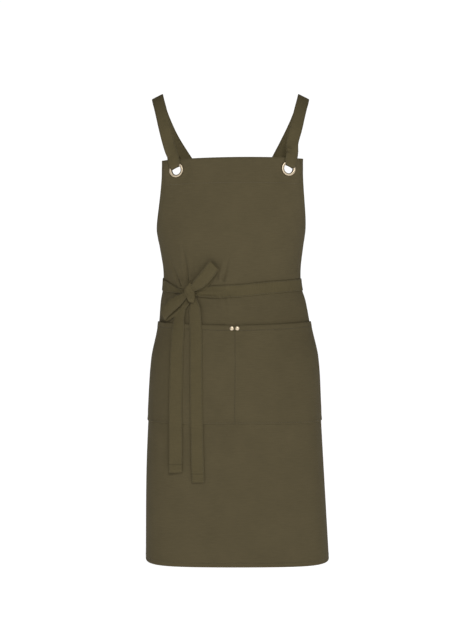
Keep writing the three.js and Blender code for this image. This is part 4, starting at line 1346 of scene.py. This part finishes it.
# %% Sew the seams
STITCH_PITCH = 3.4
STITCH_LENGTH = 2.7
THREAD = 0.27
SPINDLE_SIDES = 4
SPINDLE = ((-0.5, 0.12), (-0.32, 0.85), (0, 1.0), (0.32, 0.85), (0.5, 0.12))
FACING_LINE = 160
dice = np.random.default_rng(11)


def read_off(line, run, at):
    """The places of a line at some distances along it."""
    return np.stack([np.interp(at, run, line[:, k]) for k in range(3)], axis=-1)


def sew(name, lines):
    """One mesh of stitches along lines of points, each with the way out of the cloth."""
    middles = []
    ways = []
    outs = []
    for points, out in lines:
        run = distance_along(points)
        count = max(int(run[-1] / STITCH_PITCH), 1)
        at = (np.arange(count) + 0.5) * run[-1] / count
        middles.append(read_off(points, run, at))
        ways.append(unit(read_off(points, run, at + 1) - read_off(points, run, at - 1)))
        outs.append(unit(read_off(out, run, at)))
    middle = np.concatenate(middles)
    way = np.concatenate(ways)
    out = np.concatenate(outs)
    side = unit(np.cross(way, out))
    way = unit(way + side * dice.normal(0, 0.05, len(way))[:, None])
    length = STITCH_LENGTH * dice.uniform(0.92, 1.05, len(way))
    rings = []
    for share, thick in SPINDLE:
        for k in range(SPINDLE_SIDES):
            angle = 2 * math.pi * (k + 0.5) / SPINDLE_SIDES
            offset = side * math.cos(angle) * THREAD * 1.15 + out * math.sin(angle) * THREAD
            dip = THREAD * (0.55 - 2.2 * share * share)
            rings.append(middle + way * (share * length)[:, None] + offset * thick + out * dip)
    points = np.stack(rings, axis=1)
    each = points.shape[1]
    quads, index = tube_faces(len(SPINDLE), SPINDLE_SIDES)
    pattern = np.concatenate([quads[:, [3, 0, 1, 2]], [index[0][::-1], index[-1]]])
    faces = (pattern[None] + each * np.arange(len(middle))[:, None, None]).reshape(-1, 4)
    flat = np.zeros((points.shape[0] * each, 2))
    piece = new_piece(name, points.reshape(-1, 3), faces.tolist(), flat)
    return piece


def on_cloth(across, down, layers):
    """A line of points on a sheet's outer face, from a line of flat places."""
    point, way = lay(across, down)
    outer, _ = layers(np.asarray(across, float), np.asarray(down, float))
    return point + way * outer[:, None], way


def seam_line(start, end, layers):
    """A straight line on a sheet's outer face, in steps of a few millimetres of its flat cloth."""
    count = max(int(math.hypot(end[0] - start[0], end[1] - start[1]) / 4), 2)
    return on_cloth(*np.linspace(start, end, count).T, layers)


hem_line = PANEL_LENGTH - SIDE_HEM
side_line = SKIRT_WIDTH / 2 - SIDE_HEM
side_top = ARMHOLE_DEPTH + SIDE_HEM
bend = np.linspace(0, math.pi / 2, 100)
panel_lines = [
    seam_line((-FACING_LINE, FACING_DEPTH), (FACING_LINE, FACING_DEPTH), panel_layers),
    seam_line((-side_line, hem_line), (side_line, hem_line), panel_layers),
]
for hand in (-1, 1):
    side = hand * side_line
    panel_lines.append(seam_line((side, side_top), (side, hem_line), panel_layers))
    curve_across = hand * (SKIRT_WIDTH / 2 - (ARMHOLE_REACH + SIDE_HEM) * np.cos(bend))
    panel_lines.append(on_cloth(curve_across, side_top * np.sin(bend), panel_layers))

pocket_side = POCKET_WIDTH / 2 - POCKET_SEW
pocket_foot = POCKET_DROP + POCKET_DEPTH - POCKET_SEW
pocket_top = POCKET_DROP + POCKET_HEM
pocket_ends = [
    ((-pocket_side, pocket_foot), (pocket_side, pocket_foot)),
    ((-pocket_side, pocket_top), (pocket_side, pocket_top)),
    ((0, pocket_top + 3), (0, pocket_foot)),
    ((-pocket_side, POCKET_DROP), (-pocket_side, pocket_foot)),
    ((pocket_side, POCKET_DROP), (pocket_side, pocket_foot)),
]
pocket_lines = [seam_line(start, end, pocket_layers) for start, end in pocket_ends]

tape_lines = []
for _, front, out in tapes.values():
    for column in (STITCH_COLUMN, TAPE_CELLS - STITCH_COLUMN):
        tape_lines.append((front[:, column], out[:, column]))
stitches = [
    sew("panel_stitches", panel_lines),
    sew("pocket_stitches", pocket_lines),
    sew("tape_stitches", tape_lines),
]
print("stitches:", [triangles(piece) for piece in stitches], "triangles")

# %% [markdown]
# ## Materials
# Every material here is one shader with a bump, so a second class adds to the sums the few nodes that
# they share: numbers kept on the mesh, soft noise, two colours mixed, and the last links to the shader.

# %% Write materials
class Paint(Nodes):
    """A material whose colour, roughness and bump are written as sums."""

    def __init__(self, name):
        self.material = bpy.data.materials.new(name)
        super().__init__(self.material)
        self.shader = self.tree.nodes["Principled BSDF"]

    def number(self, name):
        """A number kept on the mesh's vertices."""
        return self.node("ShaderNodeAttribute", {"attribute_name": name}, output="Fac")

    def noise(self, place, scale, detail=2.0, roughness=0.5):
        """Soft noise from 0 to 1, with this many bumps to the metre."""
        named = {"Vector": place, "Scale": scale, "Detail": detail, "Roughness": roughness}
        return self.node("ShaderNodeTexNoise", {}, named=named)

    def mixed(self, share, first, second):
        """One colour turned into another by a share. A Mix node's colours are its sockets 6 and 7."""
        named = {0: share, 6: first, 7: second}
        return self.node("ShaderNodeMix", {"data_type": "RGBA"}, named=named, output=2)

    def finish(self, colour, roughness, height, depth, **fixed):
        """Feed the shader, with a bump of this depth in metres."""
        self.put(self.shader.inputs["Base Color"], colour)
        self.put(self.shader.inputs["Roughness"], roughness)
        named = {"Height": height, "Distance": depth, "Strength": 1.0}
        self.put(self.shader.inputs["Normal"], self.node("ShaderNodeBump", {}, named=named))
        for key, value in fixed.items():
            self.shader.inputs[key.replace("_", " ")].default_value = value
        return self.material


print("materials are written with", [name for name in vars(Paint) if not name.startswith("_")])

# %% [markdown]
# ## Twill
# Twill shows fine diagonal ribs, with uneven yarns that leave short level streaks. The ribs are 0.9 mm
# apart here, the streaks are stretched noise, and a broad soft noise makes the dye a little uneven. Along
# each row of stitches the cloth sinks in its bump and its colour is darkened as painted shade of the
# groove, and it puckers gently towards the seam. The hems get painted shade along their seams too. Turned
# edges are rubbed a little paler. A photograph of cloth could be tiled instead, but numbers never repeat.

# %% Weave the twill
TWILL_COLOUR = (0.0935, 0.0758, 0.0395)
TAPE_COLOUR = (0.0945, 0.0765, 0.0375)
TWILL_BUMP = 0.00012
RIB = 0.0009
RIB_TURN = math.radians(58)


def shade(colour, factor):
    return (*[part * factor for part in colour], 1)


def woven(name, colour, seed, groove_shade, hem_groove_shade):
    """A cotton twill of one colour, with how much painted shade darkens the grooves of its edge stitching
    and of its hems.
    """
    paint = Paint(name)
    flat = paint.node("ShaderNodeUVMap", {"uv_map": "flat"})
    across, along, _ = paint.split(flat)
    turn = 2 * math.pi / RIB
    rib = (across * (turn * math.cos(RIB_TURN)) + along * (turn * math.sin(RIB_TURN))).sine()
    yarn = (across * (turn * 1.9)).sine() * 0.35
    streaked = paint.node("ShaderNodeCombineXYZ", {}, across * 45 + seed, along * 420)
    streaks = paint.noise(streaked, 1.0, 3.0, 0.6)
    broad = paint.noise(flat, 14.0, 3.0, 0.55)
    fuzz = paint.noise(flat, 900.0, 2.0, 0.6)
    edge = paint.number("edge")
    stitch = paint.number("stitch").size()
    seam = paint.number("seam")
    nearest = stitch.least(seam)
    # Near a stitch line the cloth sinks in the bump, and its colour darkens there as painted shade of the
    # groove.
    sunk_and_shaded = 1 - nearest.between(0.15, 1.15)
    pucker = (1 - nearest.between(1.0, 7.0)) * paint.noise(flat, 160.0, 1.0)
    rubbed = (1 - edge.between(0.1, 1.1)) * fuzz

    tone = 0.5 + (streaks - 0.5) * 0.75 + (broad - 0.5) * 0.6 + rib * 0.07 + (fuzz - 0.5) * 0.45
    # Edges are rubbed paler by wear. Stitch grooves and hem seams are darkened as painted shade.
    tone = tone + rubbed * 0.5 - sunk_and_shaded * groove_shade - (1 - seam.between(0.3, 2.4)) * hem_groove_shade
    dyed = paint.mixed(tone, shade(colour, 0.8), shade(colour, 1.2))
    roughness = 0.86 + (fuzz - 0.5) * 0.1
    height = rib * 0.5 + yarn * 0.4 + fuzz * 0.8 + streaks * 0.7 - sunk_and_shaded * 1.8 - pucker * 1.6
    return paint.finish(dyed, roughness, height, TWILL_BUMP, Specular_IOR_Level=0.12)


# The last two numbers set how dark the painted shade in the stitch grooves and along the hems is.
twill = woven("olive twill", TWILL_COLOUR, 3.0, 0.36, 0.15)
tape_twill = woven("olive tape", TAPE_COLOUR, 17.0, 0.48, 0.8)
for piece in (panel, facing, pocket):
    piece.data.materials.append(twill)
for piece, _, _ in tapes.values():
    piece.data.materials.append(tape_twill)
knot.data.materials.append(tape_twill)
print("twill ribs every", RIB * 1000, "mm")

# %% [markdown]
# ## Thread and brass
# The thread matches the cloth and is a touch paler and smoother. The brass is pale and rubbed on its
# crowns and brown in its hollows and at its edges, partly patina and partly painted dark reflection, with
# a fine grain, and soft patches in its colour and roughness.

# %% Spin the thread and cast the brass
THREAD_COLOUR = (0.112, 0.094, 0.055)


def spun(name, colour):
    paint = Paint(name)
    place = paint.node("ShaderNodeTexCoord", {}, output="Object")
    twist = paint.noise(place, 1500.0, 1.0)
    dyed = paint.mixed(twist, shade(colour, 0.8), shade(colour, 1.15))
    fixed = {"Sheen_Weight": 0.1, "Specular_IOR_Level": 0.35}
    return paint.finish(dyed, 0.62 + (twist - 0.5) * 0.1, twist, 0.00005, **fixed)


def brass(name):
    paint = Paint(name)
    place = paint.node("ShaderNodeTexCoord", {}, output="Object")
    patches = paint.noise(place, 260.0, 4.0, 0.6)
    grain = paint.noise(place, 2400.0, 2.0, 0.6)
    worn = paint.number("worn") + (patches - 0.5) * 0.35
    # Low shares are brown: patina in the hollows and painted dark reflection at the edges of the flange
    # and cap.
    bright = worn.between(0.35, 0.85)
    brown = paint.mixed(patches, (0.045, 0.026, 0.011, 1), (0.12, 0.075, 0.033, 1))
    pale = paint.mixed(grain, (0.62, 0.5, 0.34, 1), (0.78, 0.68, 0.52, 1))
    colour = paint.mixed(bright, brown, pale)
    roughness = 0.6 - bright * 0.12 + (patches - 0.5) * 0.12
    return paint.finish(colour, roughness, grain + patches * 2, 0.00002, Metallic=1.0)


thread = spun("olive thread", THREAD_COLOUR)
antique = brass("antique brass")
for piece in stitches:
    piece.data.materials.append(thread)
for piece in brass_pieces:
    piece.data.materials.append(antique)

pale = Paint("pale floor")
place = pale.node("ShaderNodeTexCoord", {}, output="Object")
grey = pale.noise(place, 1.5, 2.0)
tone = pale.mixed(grey, (0.88, 0.88, 0.88, 1), (0.93, 0.93, 0.93, 1))
glowing = {"Emission_Color": WHITE, "Emission_Strength": FLOOR_GLOW}
floor.data.materials.append(pale.finish(tone, 0.9, grey, 0.0001, **glowing))
print(len(bpy.data.materials), "materials")

# %% [markdown]
# ## Finish
